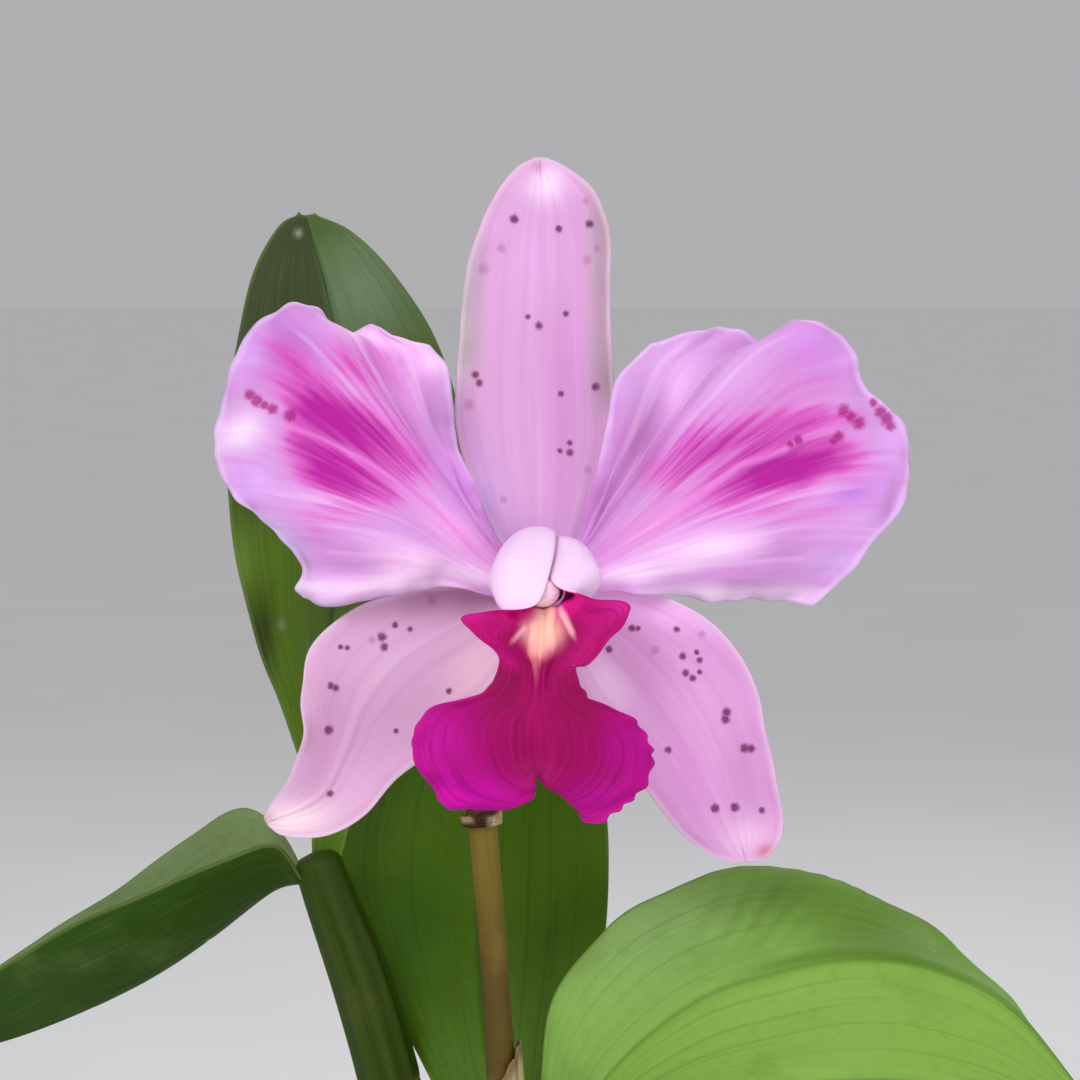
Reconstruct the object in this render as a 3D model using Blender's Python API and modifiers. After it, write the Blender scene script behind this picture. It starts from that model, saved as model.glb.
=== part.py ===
"""A cattleya orchid in flower, in a plain clay pot.

Metres, +Z up. The origin is the centre of the pot's flat base, and the
flower faces the front, -Y. Outlines of the flower are read from the
photograph in pixels and scaled by the flower's real spread.
"""

import math
import random

import bmesh
import bpy
from mathutils import Matrix, Vector

MM = 0.001

# Driving dimensions
FLOWER_SPREAD = 125 * MM
POT_HEIGHT = 104 * MM
POT_TOP_RADIUS = 62 * MM
POT_BASE_RADIUS = 44 * MM
POT_WALL = 5 * MM
BARK_LEVEL = 93 * MM
BLADE = 0.8 * MM
LEAF_THICKNESS = 1.4 * MM
GAP = 0.3 * MM

# Grids of the blades, as cells across and cells along
BLADE_GRID = (6, 12)
PETAL_GRID = (18, 11)
LIP_GRID = (18, 22)

# The flower in the photograph: its spread, its centre and the picture's centre in pixels
SPREAD_PX = 695
CENTRE_PX = (540, 590)
PICTURE_CENTRE_PX = 540
PIXEL = FLOWER_SPREAD / SPREAD_PX
VIEW_DISTANCE = 550 * MM

# The flower's place in the plant, nodding up a little to face the viewer
FLOWER_PLACE = Vector((7, -14, 290)) * MM
FLOWER_PITCH = math.radians(-5)

# Pot: drain holes beside the centre, a rolled rim band
DRAIN_RADIUS = 5 * MM
DRAIN_CIRCLE = 22 * MM
DRAINS = 3
RIM_BAND = 20 * MM
RIM_PROUD = 4 * MM
POT_SIDES = 40

# Tepal outlines: photograph x, y and depth behind the flower plane in mm
DORSAL_LEFT = [
    (529, 583, 1.9), (498, 540, 2.6), (470, 480, 4.0), (455, 425, 5.0), (457, 370, 6.0),
    (462, 310, 6.5), (467, 265, 6.5), (480, 226, 6.5), (498, 190, 6.2), (517, 167, 6.0), (534, 158, 6.0),
]
DORSAL_MIDDLE = [
    (540, 584, 1.9), (540, 480, 5.6), (538, 370, 8.0), (540, 260, 8.2), (541, 200, 7.0), (540, 157, 6.0),
]
DORSAL_RIGHT = [
    (551, 583, 1.9), (585, 540, 2.6), (606, 480, 4.0), (615, 425, 5.0), (613, 370, 6.0),
    (610, 310, 6.5), (611, 265, 6.5), (609, 226, 6.5), (594, 190, 6.2), (566, 167, 6.0), (547, 158, 6.0),
]
SEPAL_LEFT_OUTER = [
    (526, 588, 1.9), (470, 584, 2.4), (400, 592, 3.0), (348, 613, 2.0), (312, 645, 0.0), (302, 690, -2.0),
    (302, 735, -2.5), (290, 775, -1.0), (270, 806, 1.5), (264, 817, 2.5),
]
SEPAL_LEFT_MIDDLE = [
    (531, 597, 1.9), (470, 618, 4.2), (405, 655, 4.6), (365, 700, 3.0), (345, 750, 1.5),
    (320, 795, 1.5), (266, 821, 2.6),
]
SEPAL_LEFT_INNER = [
    (537, 604, 1.9), (524, 645, 4.0), (505, 695, 4.4), (455, 738, 3.4), (398, 778, 2.0),
    (365, 815, 1.0), (325, 836, 1.5), (285, 836, 2.2), (269, 826, 2.6),
]
SEPAL_RIGHT_OUTER = [
    (554, 588, 1.9), (600, 586, 2.4), (650, 592, 2.6), (700, 614, 2.0), (738, 652, 0.5), (758, 692, -0.5),
    (768, 740, -1.0), (780, 795, 0.0), (783, 832, 1.5), (770, 855, 2.5), (757, 862, 3.0),
]
SEPAL_RIGHT_MIDDLE = [
    (549, 597, 1.9), (600, 622, 4.2), (655, 670, 4.6), (698, 730, 3.0), (725, 790, 2.0), (746, 862, 3.2),
]
SEPAL_RIGHT_INNER = [
    (543, 604, 1.9), (558, 645, 4.0), (585, 700, 4.2), (622, 755, 3.0), (652, 798, 1.6),
    (681, 834, 1.8), (712, 856, 2.6), (735, 863, 3.0),
]

# Petals: the two side edges out from the base, and the far margin from the lower to the upper corner
PETAL_LEFT_LOWER = [
    (529, 597, 0.8), (492, 596, 0.3), (455, 587, -1.2), (415, 593, -2.6), (365, 602, -2.5),
    (325, 603, -1.0), (301, 601, 0.5),
]
PETAL_LEFT_FAR = [
    (301, 601, 0.5), (293, 590, 0.0), (299, 573, -1.0), (287, 545, -2.5), (262, 521, -2.0), (234, 498, 0.0),
    (219, 466, 1.5), (216, 436, 1.5), (223, 395, 1.0), (241, 353, 0.0), (257, 322, -1.5), (284, 307, -2.5),
    (312, 313, -1.0), (347, 329, 1.5), (372, 325, 1.0), (402, 338, -1.5), (430, 345, -2.0),
]
PETAL_LEFT_UPPER = [
    (527, 574, 0.8), (505, 552, 0.4), (483, 508, -0.6), (460, 450, -2.0), (452, 400, -3.0), (447, 366, -2.8),
    (430, 345, -2.0),
]
PETAL_RIGHT_LOWER = [
    (551, 597, 0.8), (590, 592, 0.3), (640, 592, -0.8), (698, 599, 0.5), (745, 602, 1.5),
    (790, 602, 2.0), (812, 606, 2.0),
]
PETAL_RIGHT_FAR = [
    (812, 606, 2.0), (842, 580, 0.0), (873, 542, -1.5), (903, 509, -0.5), (912, 466, 1.5), (898, 419, 1.5),
    (866, 386, 0.0), (853, 347, -2.0), (836, 328, -2.4), (812, 321, -2.4), (793, 327, -1.2), (779, 338, 0.4),
    (763, 345, 1.6), (753, 339, 1.7), (744, 331, 1.5), (730, 328, 1.0), (700, 331, -1.5), (650, 343, -2.0),
]
PETAL_RIGHT_UPPER = [
    (553, 574, 0.8), (573, 548, 0.4), (589, 500, -0.6), (604, 440, -2.0), (614, 386, -2.8), (630, 364, -2.6),
    (650, 343, -2.0),
]
PETAL_ARCH = 5.0 * MM
PETAL_ARCH_SHIFT_PX = 26

# Lip: matched stations down the left margin, the middle and the right margin, in the flower's own mm
LIP_LEFT_MARGIN = [
    (-0.9, -0.9, 4.6), (2.0, -5.5, 9.8), (2.8, -11.8, 10.1), (2.2, -18.4, 5.4), (-0.4, -21.9, -1.9),
    (-6.4, -23.4, -3.2), (-13.6, -23.2, -4.5), (-8.4, -24.0, -9.6), (-7.1, -24.2, -12.4),
    (-10.0, -24.8, -17.1), (-19.2, -24.0, -20.1), (-22.2, -23.0, -26.3), (-20.0, -21.6, -32.5),
    (-15.6, -19.8, -37.0), (-7.5, -19.2, -38.4), (-3.1, -20.0, -36.1), (-1.2, -20.8, -32.4),
]
LIP_MIDDLE = [
    (0.0, -0.9, -4.2), (0.0, -5.0, -5.6), (0.0, -9.0, -6.2), (0.2, -13.5, -6.0), (0.6, -17.4, -5.8),
    (0.2, -19.8, -7.7), (0.0, -21.6, -10.4), (0.0, -22.9, -13.1), (0.0, -24.0, -15.9),
    (0.0, -25.0, -19.0), (0.0, -25.5, -21.7), (0.0, -25.6, -24.4), (-0.1, -25.2, -26.8),
    (-0.2, -24.4, -28.8), (-0.3, -23.4, -30.4), (-0.4, -22.2, -31.6), (-0.4, -21.0, -32.3),
]
LIP_RIGHT_MARGIN = [
    (0.9, -0.9, 4.0), (0.8, -5.5, 8.2), (0.4, -11.2, 8.4), (1.0, -16.6, 4.8), (2.8, -20.6, 1.0),
    (8.6, -23.0, -1.0), (15.7, -23.0, -2.7), (9.0, -24.0, -11.7), (6.2, -24.2, -13.1),
    (8.9, -24.8, -18.0), (16.3, -24.2, -21.6), (19.8, -22.8, -27.6), (19.0, -21.2, -32.9),
    (14.2, -19.8, -37.8), (8.5, -19.2, -39.8), (4.0, -19.8, -35.2), (0.5, -20.8, -32.4),
]
LIP_ROLL = [1, 1, 1, 1, 0.8, 0.2, 0.08, 0.04, 0.02, 0, 0, 0, 0, 0, 0, 0, 0]
LIP_REACH = [5.8, 9.4, 12.2, 13.2, 12.4, 12, 12, 12, 12, 12, 12, 12, 12, 12, 12, 12, 12]
LIP_CROWN = [0, 3, 5, 4.5, 1.5, 0, 0, 0, 0, 0, 0, 0, 0, 0, 0, 0, 0]

# Column and anther cap, inside the lip's tube
COLUMN_PATH = [(0, -0.5, 0.4), (0, -6, 1.8), (0, -12, 1.8), (0.3, -16.0, 0.6)]
COLUMN_RADII = [2.9, 2.7, 2.7, 2.6]
ANTHER_PATH = [(0.4, -16.4, 0.4), (0.9, -18.4, -0.3), (1.2, -19.8, -1.1)]
ANTHER_RADII = [2.5, 2.4, 1.6]

# Stem parts of the plant, in the plant's own mm
PEDUNCLE_PATH = [
    (0.4, 0.2, 166), (0.4, 0, 180), (-0.6, 0, 205), (-2.2, 0, 228), (-4.0, 0, 249),
]
PEDUNCLE_RADII = [2.9, 2.8, 2.6, 2.6, 2.8]
OVARY_PATH = [
    (-4.03, 0, 249.3), (-4.4, 1.4, 257), (-2.6, 5.2, 268), (1.6, 6.4, 279), (5.4, 1.0, 287.4),
    (7.0, -10.96, 289.73),
]
OVARY_RADII = [2.2, 1.9, 1.9, 2.1, 2.7, 3.0]
BULB_FRONT_PATH = [
    (12, -5, 95), (11.6, -5, 108), (9.4, -4, 128), (5.2, -2, 148), (1.4, 0, 164), (0.4, 0, 170),
]
BULB_FRONT_RADII = [4.6, 7.0, 8.4, 7.6, 5.4, 4.0]
BULB_LEFT_PATH = [
    (-14, 26, 95), (-14, 26, 112), (-16, 25, 145), (-20.4, 23.5, 180), (-27, 21.5, 208),
    (-34.2, 20, 229), (-36.4, 19.6, 236),
]
BULB_LEFT_RADII = [4.2, 6.0, 6.6, 6.3, 5.7, 5.0, 4.0]
RHIZOME_PATH = [(-33, 34, 90), (-24, 31, 92), (-14, 26, 91.5), (-1, 12, 91), (12, -5, 91.5), (21, -17, 95)]
RHIZOME_RADII = [3.4, 4.4, 4.8, 4.2, 4.8, 2.0]
ROOT_RADIUS = 1.7
ROOT_PATHS = [
    [(-20, 29, 92), (-29, 21, 97.5), (-37, 12, 96.5), (-43, 4, 90), (-45, 1, 84)],
    [(-6, 17, 91.5), (2, 25, 97.5), (9, 33, 97), (15, 39, 90), (17, 41, 84)],
    [(4, 6, 91.5), (-6, -6, 97.5), (-16, -18, 97), (-24, -30, 90), (-26, -33, 84)],
    [(16, -10, 92.5), (26, -8, 98), (35, -9, 97), (42, -12, 90), (43, -14, 84)],
]

# Leaves: left margin, midrib and right margin in the plant's own mm
LEAF_TALL = (
    [(-36.8, 22.8, 233.5), (-38.0, 25, 248), (-43.6, 26, 264), (-50, 28, 283), (-53.3, 31, 302),
     (-53.8, 34, 320), (-51.4, 37, 337), (-48.6, 39, 348), (-44, 40.8, 356), (-40, 41.6, 357.8)],
    [(-34.6, 23.8, 232.5), (-34.8, 28, 252), (-33.6, 32, 280), (-31, 36, 305), (-32.6, 39, 333),
     (-38.8, 41.5, 358)],
    [(-31.8, 20.8, 233.5), (-27, 23, 250), (-18, 26, 275), (-10, 31, 298), (-8.5, 35, 316), (-13, 38, 333),
     (-21.5, 40.2, 346.5), (-30, 41.4, 355), (-37.2, 41.8, 358)],
)
LEAF_ARCHING = (
    [(-38.6, 22.2, 231), (-43.2, 27.5, 238), (-51, 32.5, 242), (-62, 34, 236), (-76, 33, 226),
     (-90, 31, 217.5), (-103, 29, 208.5), (-110, 28, 201), (-112, 27.5, 197)],
    [(-39.0, 19.8, 230.2), (-45, 20, 228.4), (-56, 20.5, 219.2), (-70, 21, 209.9), (-86, 22, 202),
     (-100, 24, 197), (-112.4, 27, 194.6)],
    [(-38.6, 16.8, 231), (-43.2, 12, 238.6), (-52, 8.5, 236.8), (-64, 7.5, 231.5), (-78, 9, 225.6),
     (-92, 13, 217.4), (-104, 19, 208), (-110, 24, 200.4), (-112, 26.5, 195.6)],
)
LEAF_MIDDLE = (
    [(-3.6, 3.2, 168), (-9.5, 16.5, 182), (-19, 30, 197), (-29.5, 33.5, 213), (-34.5, 35, 229), (-32, 37, 246),
     (-22, 40, 265), (-9, 42.5, 281), (1, 44, 289)],
    [(0.4, 5.2, 166.5), (-1, 18, 183), (-4, 28, 200), (-5, 35.5, 220), (-4, 40, 243), (0, 43, 266), (4, 44.6, 289)],
    [(4.4, 3.2, 168), (9, 14, 182), (14.5, 23.5, 197), (19, 29.5, 213), (20.5, 32.5, 229), (19.5, 36, 246),
     (15.5, 39.5, 265), (10, 42.5, 280), (6.5, 44.2, 288)],
)
LEAF_RIGHT = (
    [(4.6, -0.8, 167.5), (7.2, 0.6, 187), (8.8, 3, 208.5), (19.6, 6, 224), (32.5, 8, 231.2), (45, 9, 234.6),
     (58, 8.5, 233.4), (71, 6.5, 229), (82, 3, 223.4), (93, -4, 213.5), (102, -13, 201.6), (106, -17.5, 196)],
    [(4.8, -2.8, 166.5), (11, -6, 184), (21, -9, 201), (36, -11, 214.5), (52, -12, 220), (66, -12, 222),
     (80, -13, 219.8), (94, -16, 212.5), (107, -19.5, 195)],
    [(2.6, -3.8, 167.5), (9, -14, 181), (19, -20, 192), (34, -25, 199), (52, -27.5, 203), (68, -28, 204),
     (82, -27, 202), (95, -24.5, 198), (103, -22, 194.6), (106.4, -21, 193.6)],
)

# The papery bracts, and the chunks of bark that stand out of the pot
BRACT_WALL = 0.7 * MM
CHIPS = 28
CHIP_SEED = 7


def millimetres(points):
    return [Vector(point) * MM for point in points]


def on_flower(outline):
    """Points of the photograph, each with a depth, in the flower's own frame."""
    rise = (CENTRE_PX[1] - PICTURE_CENTRE_PX) * PIXEL
    points = []
    for across, down, depth in outline:
        behind = depth * MM
        scale = PIXEL * (VIEW_DISTANCE + behind) / VIEW_DISTANCE
        points.append(Vector((
            (across - CENTRE_PX[0]) * scale, behind, rise + (PICTURE_CENTRE_PX - down) * scale)))
    return points


def between(before, start, end, after, part):
    """A smooth step from start to end that leaves towards its neighbours."""
    square = part * part
    cube = square * part
    return 0.5 * (
        2 * start + (end - before) * part
        + (2 * before - 5 * start + 4 * end - after) * square
        + (3 * start - before - 3 * end + after) * cube
    )


def at_station(values, place):
    """The value at a fraction of the way through evenly numbered stations."""
    last = len(values) - 1
    index = min(int(place * last), last - 1)
    return between(
        values[max(index - 1, 0)], values[index], values[index + 1], values[min(index + 2, last)],
        place * last - index)


def smooth_path(points, steps=16):
    """A smooth curve through the points, by the fraction of its length."""
    count = (len(points) - 1) * steps
    dense = [at_station(points, i / count) for i in range(count + 1)]
    travelled = [0.0]
    for first, second in zip(dense, dense[1:]):
        travelled.append(travelled[-1] + (second - first).length)

    def point_at(fraction):
        target = min(max(fraction, 0), 1) * travelled[-1]
        index = next((i for i in range(1, len(dense)) if travelled[i] >= target), len(dense) - 1)
        span = travelled[index] - travelled[index - 1]
        return dense[index - 1].lerp(dense[index], (target - travelled[index - 1]) / span)

    return point_at


def finish(name, colour, roughness):
    made = bpy.data.materials.new(name)
    made.use_nodes = True
    shader = made.node_tree.nodes["Principled BSDF"]
    shader.inputs["Base Color"].default_value = (*colour, 1)
    shader.inputs["Roughness"].default_value = roughness
    return made


def add_object(name, mesh, material, parent=None):
    made = bpy.data.objects.new(name, mesh)
    plant.objects.link(made)
    if material is not None:
        mesh.materials.append(material)
    made.parent = parent
    return made


def sheet(name, place, columns, rows, thickness, material, parent=None):
    """A blade: a grid laid out by a rule, cut into triangles and given its thickness."""
    grid = bmesh.new()
    bmesh.ops.create_grid(grid, x_segments=columns, y_segments=rows, size=0.5)
    for vertex in grid.verts:
        vertex.co = place(vertex.co.x + 0.5, vertex.co.y + 0.5)
    bmesh.ops.triangulate(grid, faces=grid.faces)
    mesh = bpy.data.meshes.new(name)
    grid.to_mesh(mesh)
    grid.free()
    mesh.shade_smooth()
    made = add_object(name, mesh, material, parent)
    wall = made.modifiers.new("thickness", "SOLIDIFY")
    wall.thickness = thickness
    wall.offset = 0
    return made


def blade(name, margins, columns, rows, thickness, keel, material, parent=None, belly=0.0):
    """A leaf or sepal between two margins and a midrib; keel 1 is a sharp fold."""
    left, middle, right = (smooth_path(points) for points in margins)

    def place(across, along):
        side = 2 * across - 1
        edge_left, rib, edge_right = left(along), middle(along), right(along)
        bowl = (
            edge_left * side * (side - 1) / 2 + rib * (1 - side * side) + edge_right * side * (side + 1) / 2)
        fold = rib.lerp(edge_left if side < 0 else edge_right, abs(side))
        point = bowl.lerp(fold, keel)
        facing = (edge_right - edge_left).cross(middle(min(along + 0.02, 1)) - middle(max(along - 0.02, 0)))
        if facing.length > 0 and belly:
            swell = math.sin(math.pi * abs(side)) * math.sin(math.pi * along)
            point = point + facing.normalized() * belly * swell
        return point

    return sheet(name, place, columns, rows, thickness, material, parent)


def petal(name, lower, far, upper, arch, shift, columns, rows, material, parent):
    """A petal between two side edges and its far margin, with an arched, curved middle."""
    low, out, high = (smooth_path(points) for points in (lower, far, upper))
    base_low, base_high, corner_low, corner_high = low(0), high(0), low(1), high(1)

    def place(across, along):
        sides = low(along).lerp(high(along), across)
        ends = base_low.lerp(base_high, across).lerp(out(across), along)
        corners = base_low.lerp(base_high, across).lerp(corner_low.lerp(corner_high, across), along)
        swell = math.sin(math.pi * across) * math.sin(math.pi * along ** 1.5)
        return sides + ends - corners + Vector((0, -arch * swell, shift * swell))

    return sheet(name, place, columns, rows, BLADE, material, parent)


def lip_surface(across, along):
    """The lip: rolled into a tube at the base, open to flat towards its front lobe."""
    side = 2 * across - 1
    margin = at_station(LIP_SIDES[side > 0], along)
    middle = at_station(LIP_CENTRE, along)
    roll = min(max(at_station(LIP_ROLL, along), 0), 1)
    reach = Vector((math.copysign(at_station(LIP_REACH, along) * MM, side), 0, 0))
    chord = (margin - middle) / 3
    near_middle = middle + chord.lerp(reach, roll)
    crown = Vector((0, 0, at_station(LIP_CROWN, along) * MM))
    near_margin = margin + (-chord).lerp(reach, roll) + crown
    part = abs(side)
    rest = 1 - part
    return (
        middle * rest ** 3 + near_middle * 3 * rest * rest * part
        + near_margin * 3 * rest * part * part + margin * part ** 3)


def tube(name, path, radii, material, parent=None, grow=0.0, points=12, roundness=4, ends=0.0):
    """A round limb of changing girth along a smooth path, as a closed mesh."""
    spine = smooth_path([Vector(point) for point in path])
    curve = bpy.data.curves.new(name, "CURVE")
    curve.dimensions = "3D"
    curve.bevel_depth = 1
    curve.bevel_resolution = roundness
    curve.use_fill_caps = True
    line = curve.splines.new("POLY")
    line.points.add(points - 1)
    for i, point in enumerate(line.points):
        fraction = i / (points - 1)
        place = spine(fraction)
        if ends and fraction in (0, 1):
            inward = (spine(0.02) if fraction == 0 else spine(0.98)) - place
            place = place - inward.normalized() * ends
        point.co = (*place, 1)
        point.radius = at_station(radii, fraction) + grow
    guide = bpy.data.objects.new(name + "_guide", curve)
    plant.objects.link(guide)
    bpy.context.view_layer.update()
    mesh = bpy.data.meshes.new_from_object(guide.evaluated_get(bpy.context.evaluated_depsgraph_get()))
    bpy.data.objects.remove(guide)
    bpy.data.curves.remove(curve)
    weld = bmesh.new()
    weld.from_mesh(mesh)
    bmesh.ops.remove_doubles(weld, verts=weld.verts, dist=0.00001)
    bmesh.ops.recalc_face_normals(weld, faces=weld.faces)
    weld.to_mesh(mesh)
    weld.free()
    mesh.name = name
    mesh.materials.clear()
    mesh.shade_smooth()
    return add_object(name, mesh, material, parent)


def scaled(values):
    return [value * MM for value in values]


def as_cutter(cutter):
    plant.objects.unlink(cutter)
    cutters.objects.link(cutter)
    cutter.hide_render = True
    cutter.display_type = "WIRE"
    return cutter


def cut(made, *tools, solver="EXACT"):
    for tool in tools:
        step = made.modifiers.new("clear of " + tool.name, "BOOLEAN")
        step.operation = "DIFFERENCE"
        step.solver = solver
        step.object = tool


def turned(name, profile, sides, material):
    """A profile of (radius, height) points turned about the upright axis, closed at its axis ends."""
    mesh = bpy.data.meshes.new(name)
    outline = bmesh.new()
    corners = [outline.verts.new((radius, 0, height)) for radius, height in profile]
    for first, second in zip(corners, corners[1:]):
        outline.edges.new((first, second))
    outline.to_mesh(mesh)
    outline.free()
    made = add_object(name, mesh, material)
    turn = made.modifiers.new("turn", "SCREW")
    turn.steps = sides
    turn.render_steps = sides
    turn.use_merge_vertices = True
    turn.merge_threshold = 0.00001
    return made


def clay_pot(material):
    """The pot, turned in one profile, with drain holes round the centre of its floor."""
    rim_low = POT_HEIGHT - RIM_BAND
    slope = (POT_TOP_RADIUS - RIM_PROUD - POT_BASE_RADIUS) / POT_HEIGHT
    body_top = POT_BASE_RADIUS + slope * rim_low
    profile = [
        (0, POT_WALL),
        (POT_BASE_RADIUS - POT_WALL, POT_WALL),
        (POT_TOP_RADIUS - RIM_PROUD - POT_WALL, POT_HEIGHT - 2 * MM),
        (POT_TOP_RADIUS - RIM_PROUD - POT_WALL + 2 * MM, POT_HEIGHT),
        (POT_TOP_RADIUS - 2 * MM, POT_HEIGHT),
        (POT_TOP_RADIUS, POT_HEIGHT - 2 * MM),
        (POT_TOP_RADIUS - 1 * MM, rim_low + 1.5 * MM),
        (POT_TOP_RADIUS - 2.5 * MM, rim_low),
        (body_top, rim_low - 1 * MM),
        (POT_BASE_RADIUS + 1.5 * MM, 1.5 * MM),
        (POT_BASE_RADIUS, 0),
        (0, 0),
    ]
    pot = turned("pot", profile, POT_SIDES, material)
    for i in range(DRAINS):
        angle = 2 * math.pi * (i + 0.25) / DRAINS
        place = (DRAIN_CIRCLE * math.cos(angle), DRAIN_CIRCLE * math.sin(angle), POT_WALL / 2)
        bpy.ops.mesh.primitive_cylinder_add(
            vertices=16, radius=DRAIN_RADIUS, depth=POT_WALL * 3, location=place)
        drain = bpy.context.object
        drain.name = f"drain_{i + 1}"
        for holder in list(drain.users_collection):
            holder.objects.unlink(drain)
        plant.objects.link(drain)
        cut(pot, as_cutter(drain))
    return pot


def drop_scraps(mesh):
    """Keep the one body that holds together, without chunks that the cuts have set loose."""
    body = bmesh.new()
    body.from_mesh(mesh)
    bodies = []
    unseen = set(body.verts)
    while unseen:
        reached = {unseen.pop()}
        edge = list(reached)
        while edge:
            edge = [link.other_vert(v) for v in edge for link in v.link_edges if link.other_vert(v) in unseen]
            reached.update(edge)
            unseen.difference_update(edge)
        bodies.append(reached)
    bodies.sort(key=len)
    for scrap in bodies[:-1]:
        bmesh.ops.delete(body, geom=list(scrap), context="VERTS")
    body.to_mesh(mesh)
    body.free()


def bark_bed(material, clearances):
    """The filled potting mix, with chunks of bark standing out of its top."""
    inner_low = POT_BASE_RADIUS - POT_WALL - GAP
    inner_slope = (POT_TOP_RADIUS - RIM_PROUD - POT_BASE_RADIUS) / (POT_HEIGHT - 2 * MM - POT_WALL)
    inner_top = inner_low + inner_slope * (BARK_LEVEL - POT_WALL)
    profile = [
        (0, BARK_LEVEL), (inner_top * 0.5, BARK_LEVEL), (inner_top, BARK_LEVEL - 2 * MM),
        (inner_low, POT_WALL + GAP), (0, POT_WALL + GAP),
    ]
    bed = turned("bark_mix", profile, POT_SIDES // 2, material)
    draw = random.Random(CHIP_SEED)
    chunks = bpy.data.collections.new("bark_chunks")
    bpy.context.scene.collection.children.link(chunks)
    for i in range(CHIPS):
        reach = math.sqrt((i + 0.5) / CHIPS) * (inner_top - 9 * MM)
        angle = i * math.radians(137.5) + draw.uniform(-0.2, 0.2)
        chunk = bmesh.new()
        bmesh.ops.create_cube(chunk, size=1)
        size = Vector((draw.uniform(9, 15), draw.uniform(6, 10), draw.uniform(4, 6))) * MM
        for vertex in chunk.verts:
            vertex.co = Vector(
                vertex.co[axis] * size[axis] * draw.uniform(0.78, 1.1) for axis in range(3))
        turn = (
            Matrix.Translation((reach * math.cos(angle), reach * math.sin(angle), BARK_LEVEL + 0.4 * MM))
            @ Matrix.Rotation(draw.uniform(0, math.tau), 4, "Z")
            @ Matrix.Rotation(draw.uniform(-0.3, 0.3), 4, "X")
            @ Matrix.Rotation(draw.uniform(-0.3, 0.3), 4, "Y"))
        bmesh.ops.transform(chunk, matrix=turn, verts=chunk.verts)
        mesh = bpy.data.meshes.new(f"chunk_{i + 1}")
        chunk.to_mesh(mesh)
        chunk.free()
        chunks.objects.link(bpy.data.objects.new(mesh.name, mesh))
    join = bed.modifiers.new("chunks", "BOOLEAN")
    join.operation = "UNION"
    join.operand_type = "COLLECTION"
    join.solver = "EXACT"
    join.collection = chunks
    cut(bed, *clearances, solver="MANIFOLD")
    bpy.context.view_layer.update()
    mesh = bpy.data.meshes.new_from_object(bed.evaluated_get(bpy.context.evaluated_depsgraph_get()))
    bpy.data.objects.remove(bed)
    for chunk in list(chunks.objects):
        bpy.data.objects.remove(chunk)
    bpy.data.collections.remove(chunks)
    drop_scraps(mesh)
    return add_object("potting_bark", mesh, None)


def sleeve(name, path, radii, start, end, lean, sides, rings, material, clear=2 * GAP):
    """A bract that hugs a stem: a thin sleeve between two fractions of its path, its top cut aslant."""
    spine = smooth_path(millimetres(path))
    wall = bmesh.new()
    loops = []
    for extra in (clear + BRACT_WALL, clear):
        for row in range(rings + 1):
            loop = []
            for column in range(sides):
                angle = math.tau * column / sides
                slant = lean * (1 + math.cos(angle)) / 2
                fraction = start + (end - slant - start) * row / rings
                centre = spine(fraction)
                forward = (spine(min(fraction + 0.02, 1)) - spine(max(fraction - 0.02, 0))).normalized()
                side = forward.cross(Vector((0, 1, 0))).normalized()
                up = side.cross(forward)
                radius = at_station(radii, fraction) * MM + extra
                loop.append(wall.verts.new(centre + (side * math.cos(angle) + up * math.sin(angle)) * radius))
            loops.append(loop)
    outer = loops[:rings + 1]
    inner = loops[rings + 1:]
    bands = list(zip(outer, outer[1:])) + [(outer[-1], inner[-1])]
    bands += list(zip(inner[::-1], inner[::-1][1:])) + [(inner[0], outer[0])]
    for lower, upper in bands:
        for column in range(sides):
            following = (column + 1) % sides
            wall.faces.new((lower[column], lower[following], upper[following], upper[column]))
    bmesh.ops.recalc_face_normals(wall, faces=wall.faces)
    mesh = bpy.data.meshes.new(name)
    wall.to_mesh(mesh)
    wall.free()
    mesh.shade_smooth()
    return add_object(name, mesh, material)


for existing in list(bpy.data.objects):
    bpy.data.objects.remove(existing)

plant = bpy.data.collections.new("cattleya_orchid")
cutters = bpy.data.collections.new("cutters")
bpy.context.scene.collection.children.link(plant)
bpy.context.scene.collection.children.link(cutters)

flower = bpy.data.objects.new("flower", None)
flower.location = FLOWER_PLACE
flower.rotation_euler = (FLOWER_PITCH, 0, 0)
plant.objects.link(flower)

clay = finish("clay", (0.55, 0.24, 0.13), 0.85)
bark = finish("bark", (0.16, 0.08, 0.045), 0.95)
rhizome_skin = finish("rhizome_skin", (0.24, 0.22, 0.09), 0.7)
bulb_skin = finish("bulb_skin", (0.10, 0.16, 0.03), 0.5)
dry_bract = finish("dry_bract", (0.62, 0.52, 0.34), 0.8)
leaf_skin = finish("leaf_skin", (0.06, 0.13, 0.03), 0.4)
young_leaf = finish("young_leaf", (0.16, 0.27, 0.08), 0.4)
stem_skin = finish("stem_skin", (0.17, 0.12, 0.03), 0.6)
sepal_skin = finish("sepal_skin", (0.78, 0.45, 0.74), 0.55)
petal_skin = finish("petal_skin", (0.75, 0.33, 0.72), 0.5)
lip_skin = finish("lip_skin", (0.45, 0.01, 0.22), 0.45)
column_skin = finish("column_skin", (0.9, 0.75, 0.88), 0.45)

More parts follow.
